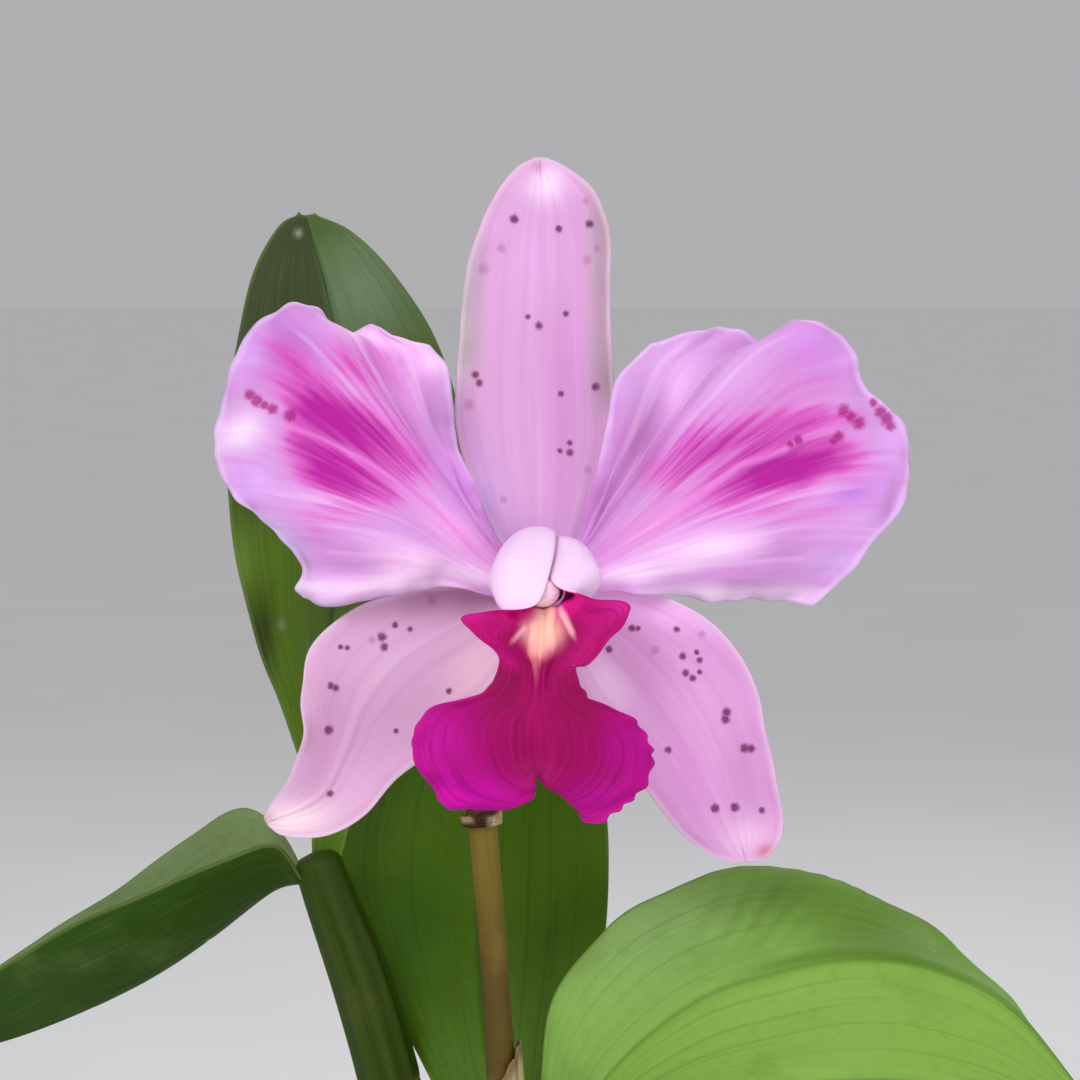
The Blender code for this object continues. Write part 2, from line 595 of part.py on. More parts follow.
# Stems: the rhizome with its roots, two pseudobulbs and the flower stem
rhizome = tube("rhizome", millimetres(RHIZOME_PATH), scaled(RHIZOME_RADII), rhizome_skin, points=12, roundness=3)
root_tools = []
for i, path in enumerate(ROOT_PATHS):
    root = tube(f"root_{i + 1}", millimetres(path), scaled([ROOT_RADIUS, ROOT_RADIUS]), rhizome_skin,
                points=9, roundness=2)
    fuse = rhizome.modifiers.new(root.name, "BOOLEAN")
    fuse.operation = "UNION"
    fuse.solver = "EXACT"
    fuse.object = as_cutter(root)
    root_tools.append(as_cutter(tube(
        f"root_{i + 1}_bed", millimetres(path), scaled([ROOT_RADIUS, ROOT_RADIUS]), None,
        grow=GAP, points=9, roundness=2, ends=GAP)))
rhizome_bed = as_cutter(tube(
    "rhizome_bed", millimetres(RHIZOME_PATH), scaled(RHIZOME_RADII), None,
    grow=GAP, points=12, roundness=3, ends=GAP))

bulb_front = tube("bulb_front", millimetres(BULB_FRONT_PATH), scaled(BULB_FRONT_RADII), bulb_skin)
bulb_left = tube("bulb_left", millimetres(BULB_LEFT_PATH), scaled(BULB_LEFT_RADII), bulb_skin)
front_bed = as_cutter(tube(
    "front_bed", millimetres(BULB_FRONT_PATH), scaled(BULB_FRONT_RADII), None, grow=GAP, ends=GAP))
left_bed = as_cutter(tube(
    "left_bed", millimetres(BULB_LEFT_PATH), scaled(BULB_LEFT_RADII), None, grow=GAP, ends=GAP))
cut(bulb_front, rhizome_bed)
cut(bulb_left, rhizome_bed)

peduncle = tube("flower_stem", millimetres(PEDUNCLE_PATH), scaled(PEDUNCLE_RADII), stem_skin, points=10)
cut(peduncle, front_bed)
peduncle_bed = as_cutter(tube(
    "stem_bed", millimetres(PEDUNCLE_PATH), scaled(PEDUNCLE_RADII), None, grow=GAP, points=10, ends=GAP))
ovary = tube("ovary", millimetres(OVARY_PATH), scaled(OVARY_RADII), stem_skin, points=12, roundness=3)

# Bracts round the stems
sleeve("bulb_sheath_front", BULB_FRONT_PATH, BULB_FRONT_RADII, 0.1, 0.66, 0.22, 16, 6, dry_bract)
sleeve("bulb_sheath_left", BULB_LEFT_PATH, BULB_LEFT_RADII, 0.06, 0.5, 0.16, 16, 6, dry_bract)
flower_sheath = sleeve(
    "flower_sheath", PEDUNCLE_PATH, [3.0, 3.4, 3.0, 2.8, 2.8], 0.1, 0.46, 0.14, 12, 4, dry_bract)
sleeve("stem_bract", PEDUNCLE_PATH, [2.6, 2.6, 2.6, 2.8, 3.2], 0.955, 1.0, 0.02, 12, 2, dry_bract)

cut(flower_sheath, front_bed)

# Leaves
leaf_tall = blade(
    "leaf_tall", [millimetres(points) for points in LEAF_TALL], *BLADE_GRID, LEAF_THICKNESS, 0.5, leaf_skin)
leaf_arching = blade(
    "leaf_arching", [millimetres(points) for points in LEAF_ARCHING], *BLADE_GRID, LEAF_THICKNESS, 0.6,
    leaf_skin)
leaf_middle = blade(
    "leaf_middle", [millimetres(points) for points in LEAF_MIDDLE], *BLADE_GRID, LEAF_THICKNESS, 0.5,
    leaf_skin)
leaf_right = blade(
    "leaf_right", [millimetres(points) for points in LEAF_RIGHT], *BLADE_GRID, LEAF_THICKNESS, 0.5,
    young_leaf, belly=-1.5 * MM)
cut(leaf_tall, left_bed)
cut(leaf_arching, left_bed)
cut(leaf_middle, front_bed, peduncle_bed)
cut(leaf_right, front_bed, peduncle_bed)

# The pot and its bark
pot = clay_pot(clay)
potting_bark = bark_bed(bark, [rhizome_bed, front_bed, left_bed] + root_tools)

# The flower: three sepals behind, two petals, the lip and the column
blade("dorsal_sepal", [on_flower(p) for p in (DORSAL_LEFT, DORSAL_MIDDLE, DORSAL_RIGHT)],
      *BLADE_GRID, BLADE, 0.1, sepal_skin, flower)
blade("sepal_left", [on_flower(p) for p in (SEPAL_LEFT_OUTER, SEPAL_LEFT_MIDDLE, SEPAL_LEFT_INNER)],
      *BLADE_GRID, BLADE, 0.1, sepal_skin, flower)
blade("sepal_right", [on_flower(p) for p in (SEPAL_RIGHT_OUTER, SEPAL_RIGHT_MIDDLE, SEPAL_RIGHT_INNER)],
      *BLADE_GRID, BLADE, 0.1, sepal_skin, flower)
petal("petal_left", *(on_flower(p) for p in (PETAL_LEFT_LOWER, PETAL_LEFT_FAR, PETAL_LEFT_UPPER)),
      PETAL_ARCH, PETAL_ARCH_SHIFT_PX * PIXEL, *PETAL_GRID, petal_skin, flower)
petal("petal_right", *(on_flower(p) for p in (PETAL_RIGHT_LOWER, PETAL_RIGHT_FAR, PETAL_RIGHT_UPPER)),
      PETAL_ARCH, PETAL_ARCH_SHIFT_PX * PIXEL, *PETAL_GRID, petal_skin, flower)
LIP_SIDES = (millimetres(LIP_LEFT_MARGIN), millimetres(LIP_RIGHT_MARGIN))
LIP_CENTRE = millimetres(LIP_MIDDLE)
sheet("lip", lip_surface, *LIP_GRID, BLADE, lip_skin, flower)
tube("column", millimetres(COLUMN_PATH), scaled(COLUMN_RADII), column_skin, flower, points=8, roundness=3)
tube("anther_cap", millimetres(ANTHER_PATH), scaled(ANTHER_RADII), column_skin, flower, points=5, roundness=3)
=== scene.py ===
"""The look of a cattleya orchid in flower, in a plain clay pot.

Metres, +Z up, the flower facing the front, -Y. The flower's outlines and
markings are placed by pixels of the photograph, scaled by its real spread.
"""
import math
import random

import bpy
import numpy as np
from mathutils import Matrix, Vector, noise


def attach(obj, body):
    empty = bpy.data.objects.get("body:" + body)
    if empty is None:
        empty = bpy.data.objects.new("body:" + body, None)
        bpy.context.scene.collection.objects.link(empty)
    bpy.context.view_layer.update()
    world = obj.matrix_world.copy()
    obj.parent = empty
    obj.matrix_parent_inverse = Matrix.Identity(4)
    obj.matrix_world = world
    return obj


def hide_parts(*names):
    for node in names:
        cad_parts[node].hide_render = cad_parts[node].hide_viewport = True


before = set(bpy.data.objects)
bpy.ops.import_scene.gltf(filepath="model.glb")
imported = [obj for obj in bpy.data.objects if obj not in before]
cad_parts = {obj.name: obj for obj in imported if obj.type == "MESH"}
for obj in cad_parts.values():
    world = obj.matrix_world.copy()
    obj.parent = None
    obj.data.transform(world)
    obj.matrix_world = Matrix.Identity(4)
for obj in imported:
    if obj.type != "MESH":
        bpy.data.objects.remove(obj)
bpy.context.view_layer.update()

MM = 0.001
TAU = math.tau

# The flower in the photograph: its spread, its centre and the picture's centre
FLOWER_SPREAD = 125 * MM
SPREAD_PX = 695
CENTRE_PX = (540, 590)
PICTURE_CENTRE_PX = 540
PICTURE_PX = 1080
PIXEL = FLOWER_SPREAD / SPREAD_PX
VIEW_DISTANCE = 550 * MM
RISE = (CENTRE_PX[1] - PICTURE_CENTRE_PX) * PIXEL
FLOWER = Matrix.Translation(Vector((7, -14, 290)) * MM) @ Matrix.Rotation(math.radians(-5), 4, "X")

# Pot and bark
POT_HEIGHT = 104 * MM
POT_TOP_RADIUS = 62 * MM
POT_BASE_RADIUS = 44 * MM
POT_WALL = 5 * MM
BARK_LEVEL = 93 * MM
RIM_BAND = 20 * MM
RIM_PROUD = 4 * MM
DRAIN_RADIUS = 5 * MM
DRAIN_CIRCLE = 22 * MM
DRAINS = 3
GAP = 0.3 * MM
LARGE_CHUNKS = 28
SMALL_CHUNKS = 150
CHUNK_KINDS = 6
CHUNK_SEED = 1
CHUNK_CORNERS = 8
CHUNK_TURN = math.radians(137.5)

# Studio: the floor, the even light and the lamps, with their places from the flower in metres
FLOOR_RADIUS = 30
SKY_STRENGTH = 0.64
DAYLIGHT_STRENGTH = 0.4
LAMPS = (
    ("key", (-0.40, -1.00, 0.80), 0.7, 8),
    ("fill", (0.60, -1.10, -0.20), 1.0, 6.5),
    ("rim", (0.25, 0.85, 0.8), 0.7, 4),
)

# Blades: how thick they are, how fine their grids and how many ribs cross half a blade
PETAL_THICKNESS = 0.6 * MM
SEPAL_THICKNESS = 0.7 * MM
LIP_THICKNESS = 0.5 * MM
LEAF_THICKNESS = 1.3 * MM
BRACT_THICKNESS = 0.3 * MM
PETAL_GRID = (130, 110)
SEPAL_COLUMNS = 60
LIP_GRID = (150, 170)
SEPAL_KEEL = 0.1
SEPAL_RIBS = 7
LEAF_RIBS = 14

# Tepal outlines: photograph x, y and depth behind the flower plane in mm
DORSAL_LEFT = [
    (529, 583, 1.9), (498, 540, 2.6), (470, 480, 4.0), (455, 425, 5.0), (457, 370, 6.0),
    (462, 310, 6.5), (467, 265, 6.5), (480, 226, 6.5), (498, 190, 6.2), (517, 167, 6.0),
    (534, 158, 6.0),
]
DORSAL_MIDDLE = [
    (540, 584, 1.9), (540, 480, 5.6), (538, 370, 8.0), (540, 260, 8.2), (541, 200, 7.0),
    (540, 157, 6.0),
]
DORSAL_RIGHT = [
    (551, 583, 1.9), (585, 540, 2.6), (606, 480, 4.0), (615, 425, 5.0), (613, 370, 6.0),
    (610, 310, 6.5), (611, 265, 6.5), (609, 226, 6.5), (594, 190, 6.2), (566, 167, 6.0),
    (547, 158, 6.0),
]
SEPAL_LEFT_OUTER = [
    (526, 588, 1.9), (470, 584, 2.4), (400, 592, 3.0), (348, 613, 2.0), (312, 645, 0.0),
    (302, 690, -2.0),
    (302, 735, -2.5), (290, 775, -1.0), (270, 806, 1.5), (264, 817, 2.5),
]
SEPAL_LEFT_MIDDLE = [
    (531, 597, 1.9), (470, 618, 4.2), (405, 655, 4.6), (365, 700, 3.0), (345, 750, 1.5),
    (320, 795, 1.5), (266, 821, 2.6),
]
SEPAL_LEFT_INNER = [
    (537, 604, 1.9), (524, 645, 4.0), (505, 695, 4.4), (455, 738, 3.4), (398, 778, 2.0),
    (365, 815, 1.0), (325, 836, 1.5), (285, 836, 2.2), (269, 826, 2.6),
]
SEPAL_RIGHT_OUTER = [
    (554, 588, 1.9), (600, 586, 2.4), (650, 592, 2.6), (700, 614, 2.0), (738, 652, 0.5),
    (758, 692, -0.5),
    (768, 740, -1.0), (780, 795, 0.0), (783, 832, 1.5), (770, 855, 2.5), (757, 862, 3.0),
]
SEPAL_RIGHT_MIDDLE = [
    (549, 597, 1.9), (600, 622, 4.2), (655, 670, 4.6), (698, 730, 3.0), (725, 790, 2.0),
    (746, 862, 3.2),
]
SEPAL_RIGHT_INNER = [
    (543, 604, 1.9), (558, 645, 4.0), (585, 700, 4.2), (622, 755, 3.0), (652, 798, 1.6),
    (681, 834, 1.8), (712, 856, 2.6), (735, 863, 3.0),
]
PETAL_LEFT_LOWER = [
    (529, 597, 0.8), (492, 596, 0.3), (455, 587, -1.2), (415, 593, -2.6), (365, 602, -2.5),
    (325, 603, -1.0), (301, 601, 0.5),
]
PETAL_LEFT_FAR = [
    (301, 601, 0.5), (293, 590, 0.0), (299, 573, -1.0), (287, 545, -2.5), (262, 521, -2.0),
    (234, 498, 0.0),
    (219, 466, 1.5), (216, 436, 1.5), (223, 395, 1.0), (241, 353, 0.0), (257, 322, -1.5),
    (284, 307, -2.5),
    (312, 313, -1.0), (347, 329, 1.5), (372, 325, 1.0), (402, 338, -1.5), (430, 345, -2.0),
]
PETAL_LEFT_UPPER = [
    (527, 574, 0.8), (505, 552, 0.4), (483, 508, -0.6), (460, 450, -2.0), (452, 400, -3.0),
    (447, 366, -2.8),
    (430, 345, -2.0),
]
PETAL_RIGHT_LOWER = [
    (551, 597, 0.8), (590, 592, 0.3), (640, 592, -0.8), (698, 599, 0.5), (745, 602, 1.5),
    (790, 602, 2.0), (812, 606, 2.0),
]
PETAL_RIGHT_FAR = [
    (812, 606, 2.0), (842, 580, 0.0), (873, 542, -1.5), (903, 509, -0.5), (912, 466, 1.5),
    (898, 419, 1.5),
    (866, 386, 0.0), (853, 347, -2.0), (836, 328, -2.4), (812, 321, -2.4), (793, 327, -1.2),
    (779, 338, 0.4),
    (763, 345, 1.6), (753, 339, 1.7), (744, 331, 1.5), (730, 328, 1.0), (700, 331, -1.5),
    (650, 343, -2.0),
]
PETAL_RIGHT_UPPER = [
    (553, 574, 0.8), (573, 548, 0.4), (589, 500, -0.6), (604, 440, -2.0), (614, 386, -2.8),
    (630, 364, -2.6),
    (650, 343, -2.0),
]
PETAL_ARCH = 5.0 * MM
PETAL_ARCH_SHIFT_PX = 26
PETAL_TURN_BACK = 1.5 * MM
FLARE_SOFTNESS = 2.9

# Lip: matched stations down the left margin, the middle and the right margin, in the flower's own mm
LIP_LEFT_MARGIN = [
    (-0.9, -0.9, 4.6), (2.0, -5.5, 9.8), (2.8, -11.8, 10.1), (2.2, -18.4, 5.4), (-0.4, -21.9, -1.9),
    (-6.4, -23.4, -3.2), (-13.6, -23.2, -4.5), (-8.4, -24.0, -9.6), (-7.1, -24.2, -12.4),
    (-10.0, -24.8, -17.1), (-19.2, -24.0, -20.1), (-22.2, -23.0, -26.3), (-20.0, -21.6, -32.5),
    (-15.6, -19.8, -37.0), (-7.5, -19.2, -38.4), (-3.1, -20.0, -36.1), (-1.2, -20.8, -32.4),
]
LIP_MIDDLE = [
    (0.0, -0.9, -4.2), (0.0, -5.0, -5.4), (0.0, -9.0, -5.4), (0.2, -13.5, -3.7), (0.6, -17.4, -2.9),
    (0.2, -19.8, -7.0), (0.0, -21.6, -10.4), (0.0, -22.9, -13.1), (0.0, -24.0, -15.9),
    (0.0, -25.0, -19.0), (0.0, -25.5, -21.7), (0.0, -25.6, -24.4), (-0.1, -25.2, -26.8),
    (-0.2, -24.4, -28.8), (-0.3, -23.4, -30.4), (-0.4, -22.2, -31.6), (-0.4, -21.0, -32.3),
]
LIP_RIGHT_MARGIN = [
    (0.9, -0.9, 4.0), (0.8, -5.5, 8.2), (0.4, -11.2, 8.4), (1.0, -16.6, 4.8), (2.8, -20.6, 1.0),
    (8.6, -23.0, -1.0), (15.7, -23.0, -2.7), (9.0, -24.0, -11.7), (6.2, -24.2, -13.1),
    (8.9, -24.8, -18.0), (16.3, -24.2, -21.6), (19.8, -22.8, -27.6), (19.0, -21.2, -32.9),
    (14.2, -19.8, -37.8), (8.5, -19.2, -39.8), (4.0, -19.8, -35.2), (0.5, -20.8, -32.4),
]
LIP_NOTCH = 0.75 * MM
LIP_ROLL_LEFT = [1, 1, 1, 1, 0.8, 0.2, 0.08, 0.04, 0.02, 0, 0, 0, 0, 0, 0, 0, 0]
LIP_ROLL_RIGHT = [1, 1, 1, 1, 0.5, 0.2, 0.08, 0.04, 0.02, 0, 0, 0, 0, 0, 0, 0, 0]
LIP_REACH = [5.8, 9.4, 12.2, 13.2, 12.4, 12, 12, 12, 12, 12, 12, 12, 12, 12, 12, 12, 12]
LIP_CROWN = [0, 3, 5, 4.5, 1.5, 0, 0, 0, 0, 0, 0, 0, 0, 0, 0, 0, 0]

# The pale lines in the lip's mouth, as strokes of (x, y, half width, strength) in px
THROAT_LINE_LEFT = [
    (535, 616, 4, 0.5), (524, 629, 5.0, 0.75), (513, 641, 4.4, 0.55), (504, 650, 3, 0.2),
]
THROAT_LINE_RIGHT = [
    (556, 600, 4, 0.5), (564, 616, 5.2, 0.85), (572, 633, 4.8, 0.7), (578, 645, 3.4, 0.25),
]

# Column and anther cap, in the flower's own mm
COLUMN_PATH = [(0, -0.5, 0.1), (0, -6, 1.8), (0, -12, 1.8), (0.3, -16.0, 0.6)]
COLUMN_RADII = [4.3, 3.1, 2.7, 2.6]
ANTHER_PATH = [(0.4, -16.4, 0.4), (0.9, -18.4, -0.3), (1.2, -19.8, -1.1)]
ANTHER_RADII = [2.6, 2.7, 1.9]

# Stem parts of the plant, in mm
PEDUNCLE_PATH = [
    (0.4, 0.2, 166), (0.4, 0, 180), (-0.6, 0, 205), (-2.2, 0, 228), (-4.0, 0, 249),
]
PEDUNCLE_RADII = [2.9, 2.8, 2.6, 2.6, 2.8]
FLOWER_SHEATH_RADII = [3.0, 3.4, 3.0, 2.8, 2.8]
STEM_BRACT_RADII = [2.6, 2.6, 2.6, 2.8, 3.2]
OVARY_PATH = [
    (-4.03, 0, 249.3), (-4.4, 1.4, 257), (-2.6, 5.2, 268), (1.6, 6.4, 279), (5.4, 1.0, 287.4),
    (7.0, -10.96, 289.73),
]
OVARY_RADII = [2.2, 1.9, 1.9, 2.1, 2.7, 3.0]
BULB_FRONT_PATH = [
    (12, -5, 95), (11.6, -5, 108), (9.4, -4, 128), (5.2, -2, 148), (1.4, 0, 164), (0.4, 0, 170),
]
BULB_FRONT_RADII = [4.6, 7.0, 8.4, 7.6, 5.4, 4.0]
BULB_LEFT_PATH = [
    (-14, 26, 95), (-14, 26, 112), (-16, 25, 145), (-20.4, 23.5, 180), (-27, 21.5, 208),
    (-34.2, 20, 229), (-36.4, 19.6, 236),
]
BULB_LEFT_RADII = [4.2, 6.0, 6.6, 6.3, 6.0, 5.7, 4.6]
RHIZOME_PATH = [
    (-33, 34, 90), (-24, 31, 92), (-14, 26, 91.5), (-1, 12, 91), (12, -5, 91.5), (21, -17, 95),
]
RHIZOME_RADII = [3.4, 4.4, 4.8, 4.2, 4.8, 2.0]
ROOT_RADIUS = 1.7
ROOT_PATHS = [
    [(-20, 29, 92), (-29, 21, 97.5), (-37, 12, 96.5), (-43, 4, 90), (-45, 1, 84)],
    [(-6, 17, 91.5), (2, 25, 97.5), (9, 33, 97), (15, 39, 90), (17, 41, 84)],
    [(4, 6, 91.5), (-6, -6, 97.5), (-16, -18, 97), (-24, -30, 90), (-26, -33, 84)],
    [(16, -10, 92.5), (26, -8, 98), (35, -9, 97), (42, -12, 90), (43, -14, 84)],
]

# Leaves: left margin, midrib and right margin in the plant's own mm
LEAF_TALL = (
    [(-36.8, 22.8, 233.5), (-38.0, 25, 248), (-43.6, 26, 264), (-50, 28, 283), (-53.3, 31, 302),
     (-53.8, 34, 320), (-51.4, 37, 337), (-48.6, 39, 348), (-44, 40.8, 356), (-40, 41.6, 357.8)],
    [(-34.6, 23.8, 232.5), (-34.8, 28, 252), (-33.6, 32, 280), (-31, 36, 305), (-32.6, 39, 333),
     (-38.8, 41.5, 358)],
    [(-31.8, 20.8, 233.5), (-27, 23, 250), (-18, 26, 275), (-10, 31, 298), (-8.5, 35, 316),
     (-13, 38, 333),
     (-21.5, 40.2, 346.5), (-30, 41.4, 355), (-37.2, 41.8, 358)],
)
LEAF_ARCHING = (
    [(-38.6, 22.2, 231), (-43.2, 27.5, 238), (-51, 32.5, 242), (-62, 34, 236), (-76, 33, 226),
     (-90, 31, 217.5), (-103, 29, 208.5), (-110, 28, 201), (-112, 27.5, 197)],
    [(-39.0, 19.8, 230.2), (-45, 20, 228.4), (-56, 20.5, 219.2), (-70, 21, 209.9), (-86, 22, 202),
     (-100, 24, 197), (-112.4, 27, 194.6)],
    [(-38.6, 16.8, 231), (-43.2, 12, 238.6), (-52, 8.5, 236.8), (-64, 7.5, 231.5), (-78, 9, 225.6),
     (-92, 13, 217.4), (-104, 19, 208), (-110, 24, 200.4), (-112, 26.5, 195.6)],
)
LEAF_MIDDLE = (
    [(-3.6, 3.2, 168), (-9.5, 16.5, 182), (-19, 30, 197), (-29.5, 33.5, 213), (-34.5, 35, 229),
     (-32, 37, 246),
     (-22, 40, 265), (-9, 42.5, 281), (1, 44, 289)],
    [(0.4, 5.2, 166.5), (-1, 18, 183), (-4, 28, 200), (-5, 35.5, 220), (-4, 40, 243), (0, 43, 266),
     (4, 44.6, 289)],
    [(4.4, 3.2, 168), (9, 14, 182), (14.5, 23.5, 197), (19, 29.5, 213), (20.5, 32.5, 229),
     (19.5, 36, 246),
     (15.5, 39.5, 265), (10, 42.5, 280), (6.5, 44.2, 288)],
)
LEAF_RIGHT = (
    [(4.6, -0.8, 167.5), (7.2, 0.6, 187), (8.8, 3, 208.5), (19.6, 6, 224), (32.5, 8, 231.2),
     (45, 9, 234.6),
     (58, 8.5, 233.4), (71, 6.5, 229), (82, 3, 223.4), (93, -4, 213.5), (102, -13, 201.6),
     (106, -17.5, 196)],
    [(4.8, -2.8, 166.5), (11, -6, 184), (21, -9, 201), (36, -11, 214.5), (52, -12, 220),
     (66, -12, 222),
     (80, -13, 219.8), (94, -16, 212.5), (107, -19.5, 195)],
    [(2.6, -3.8, 167.5), (9, -14, 181), (19, -20, 192), (34, -25, 199), (52, -27.5, 203),
     (68, -28, 204),
     (82, -27, 202), (95, -24.5, 198), (103, -22, 194.6), (106.4, -21, 193.6)],
)


def tone(red, green, blue):
    """A colour as the eye reads it, in the linear numbers that materials use."""
    return tuple(
        part / 12.92 if part <= 0.04045 else ((part + 0.055) / 1.055) ** 2.4
        for part in (red, green, blue))


# Colours of the flower
DORSAL_PINK = tone(0.845, 0.64, 0.825)
# Painted shade for the dorsal sepal's turned-back edges
DORSAL_EDGE_SHADE = tone(0.70, 0.65, 0.67)
SEPAL_PINK = tone(0.86, 0.68, 0.82)
SEPAL_CREAM = tone(0.95, 0.79, 0.86)
SEPAL_SHADE = tone(0.72, 0.52, 0.66)
SEPAL_RIM = tone(0.90, 0.80, 0.87)
SPOT_PURPLE = tone(0.44, 0.12, 0.36)
PETAL_LILAC = tone(0.84, 0.61, 0.86)
# Painted highlight for the petal's upturned margin
PETAL_HIGHLIGHT = tone(0.99, 0.80, 0.97)
PETAL_WHITE = tone(1.0, 0.89, 1.0)
# Painted light for the petal's turned-back lower margin
PETAL_TURNED_MARGIN_LIGHT = tone(0.97, 0.89, 0.98)
# Painted shade at the petal's base, beside the dorsal sepal
PETAL_BASE_SHADE = tone(0.72, 0.46, 0.74)
PETAL_RIM = tone(0.90, 0.80, 0.96)
FLARE_DEEP = tone(0.70, 0.05, 0.60)
FLARE_ROSE = tone(0.85, 0.36, 0.76)
LIP_CRIMSON = tone(0.60, 0.0, 0.33)
LIP_DARK = tone(0.54, 0.01, 0.28)
LIP_VIOLET = tone(0.74, 0.06, 0.58)
LIP_FLARE = tone(0.72, 0.04, 0.44)
LIP_HOOD = tone(0.98, 0.83, 0.98)
LIP_CREAM = tone(0.98, 0.74, 0.80)
THROAT_ORANGE = tone(1.0, 0.79, 0.71)
THROAT_PINK = tone(0.94, 0.50, 0.58)
BACK_LILAC = tone(0.84, 0.68, 0.85)
BACK_SHARE = 0.55


def select_only(piece):
    bpy.ops.object.select_all(action="DESELECT")
    piece.select_set(True)
    bpy.context.view_layer.objects.active = piece


def curve_at(stations, places):
    """Values at places between evenly numbered stations, on a smooth curve through them all."""
    stations = np.asarray(stations, float)
    places = np.asarray(places, float)
    last = len(stations) - 1
    index = np.clip(places.astype(int), 0, last - 1)
    part = places - index
    if stations.ndim > 1:
        part = part[..., None]
    before, start = stations[np.maximum(index - 1, 0)], stations[index]
    end, after = stations[index + 1], stations[np.minimum(index + 2, last)]
    return 0.5 * (
        2 * start + (end - before) * part
        + (2 * before - 5 * start + 4 * end - after) * part ** 2
        + (3 * start - before - 3 * end + after) * part ** 3)


def along_curve(stations, fractions, steps=16):
    """Points of a smooth curve through the stations, by fractions of its length."""
    last = len(stations) - 1
    dense = curve_at(stations, np.linspace(0, last, last * steps + 1))
    run = np.concatenate([[0], np.cumsum(np.linalg.norm(np.diff(dense, axis=0), axis=1))])
    wanted = np.clip(fractions, 0, 1) * run[-1]
    return np.stack([np.interp(wanted, run, dense[:, axis]) for axis in range(3)], axis=-1)


def from_picture(outline):
    """Points of the photograph, each with a depth in mm, in the flower's own frame."""
    across, down, depth = np.asarray(outline, float).T
    behind = depth * MM
    scale = PIXEL * (VIEW_DISTANCE + behind) / VIEW_DISTANCE
    return np.stack([
        (across - CENTRE_PX[0]) * scale, behind, RISE + (PICTURE_CENTRE_PX - down) * scale], axis=-1)


def to_picture(places):
    """The photograph's x and y of points in the flower's own frame."""
    scale = PIXEL * (VIEW_DISTANCE + places[..., 1]) / VIEW_DISTANCE
    return CENTRE_PX[0] + places[..., 0] / scale, PICTURE_CENTRE_PX - (places[..., 2] - RISE) / scale


def moved(places, matrix):
    matrix = np.array(matrix)
    return places @ matrix[:3, :3].T + matrix[:3, 3]


def smooth(value, low, high):
    """0 below low, 1 above high, with a soft step between."""
    part = np.clip((value - low) / (high - low), 0, 1)
    return part * part * (3 - 2 * part)


def facing(places):
    """The direction that a laid-out grid faces at each of its points."""
    normal = np.cross(np.gradient(places, axis=1), np.gradient(places, axis=0))
    return normal / np.maximum(np.linalg.norm(normal, axis=2, keepdims=True), 1e-12)


def ripple(first, second, size, seed):
    """Uneven waves over two coordinates, about one size long, from -1 to 1."""
    draw = random.Random(seed)
    total = 0
    for _ in range(4):
        angle = draw.uniform(0, TAU)
        length = size * draw.uniform(0.75, 1.35)
        run = (first * math.cos(angle) + second * math.sin(angle)) * TAU / length
        total = total + np.sin(run + draw.uniform(0, TAU))
    return total / 2.2


def margin_distance(places):
    """How far each point of a grid is from its two side margins and its far one."""
    near = np.minimum(
        np.linalg.norm(places - places[:, :1], axis=2),
        np.linalg.norm(places - places[:, -1:], axis=2))
    return np.minimum(near, np.linalg.norm(places - places[-1:], axis=2))


def square_to(ahead, reference=(0, 1, 0)):
    """Two directions square to a path and to each other."""
    ahead = ahead / np.linalg.norm(ahead, axis=-1, keepdims=True)
    over = np.cross(ahead, np.array(reference, float))
    over /= np.linalg.norm(over, axis=-1, keepdims=True)
    return over, np.cross(over, ahead)


def stroke(first, second, line, softness=1.0):
    """A soft brush stroke along a line of (x, y, half width, strength), from 0 to 1."""
    covered = np.zeros(np.broadcast(first, second).shape)
    for (x0, y0, width0, strength0), (x1, y1, width1, strength1) in zip(line, line[1:]):
        run, rise = x1 - x0, y1 - y0
        length = max(run * run + rise * rise, 1e-9)
        part = np.clip(((first - x0) * run + (second - y0) * rise) / length, 0, 1)
        away = np.hypot(first - x0 - part * run, second - y0 - part * rise)
        width = width0 + (width1 - width0) * part
        strength = strength0 + (strength1 - strength0) * part
        covered = np.maximum(covered, strength * np.exp(-(away / width) ** 2 / softness))
    return covered


def patch(colour, first, second, x, y, reach_x, reach_y, turn, new, strength):
    """A soft oval of a new colour laid over a painted one."""
    angle = math.radians(turn)
    run = ((first - x) * math.cos(angle) + (second - y) * math.sin(angle)) / reach_x
    rise = ((second - y) * math.cos(angle) - (first - x) * math.sin(angle)) / reach_y
    part = (strength * np.exp(-(run * run + rise * rise)))[..., None]
    return colour * (1 - part) + np.array(new) * part


def layer(colour, part, new):
    """A new colour laid over a painted one, as far as the part says, from 0 to 1."""
    part = np.clip(part, 0, 1)[..., None]
    return colour * (1 - part) + np.array(new) * part


def plain(shape, colour):
    return np.ones((*shape, 3)) * colour


def painted(x, y, ground, patches):
    """A ground under soft ovals, each with its place, two reaches, turn, colour and strength."""
    colour = plain(x.shape, ground)
    for oval in patches:
        colour = patch(colour, x, y, *oval)
    return colour


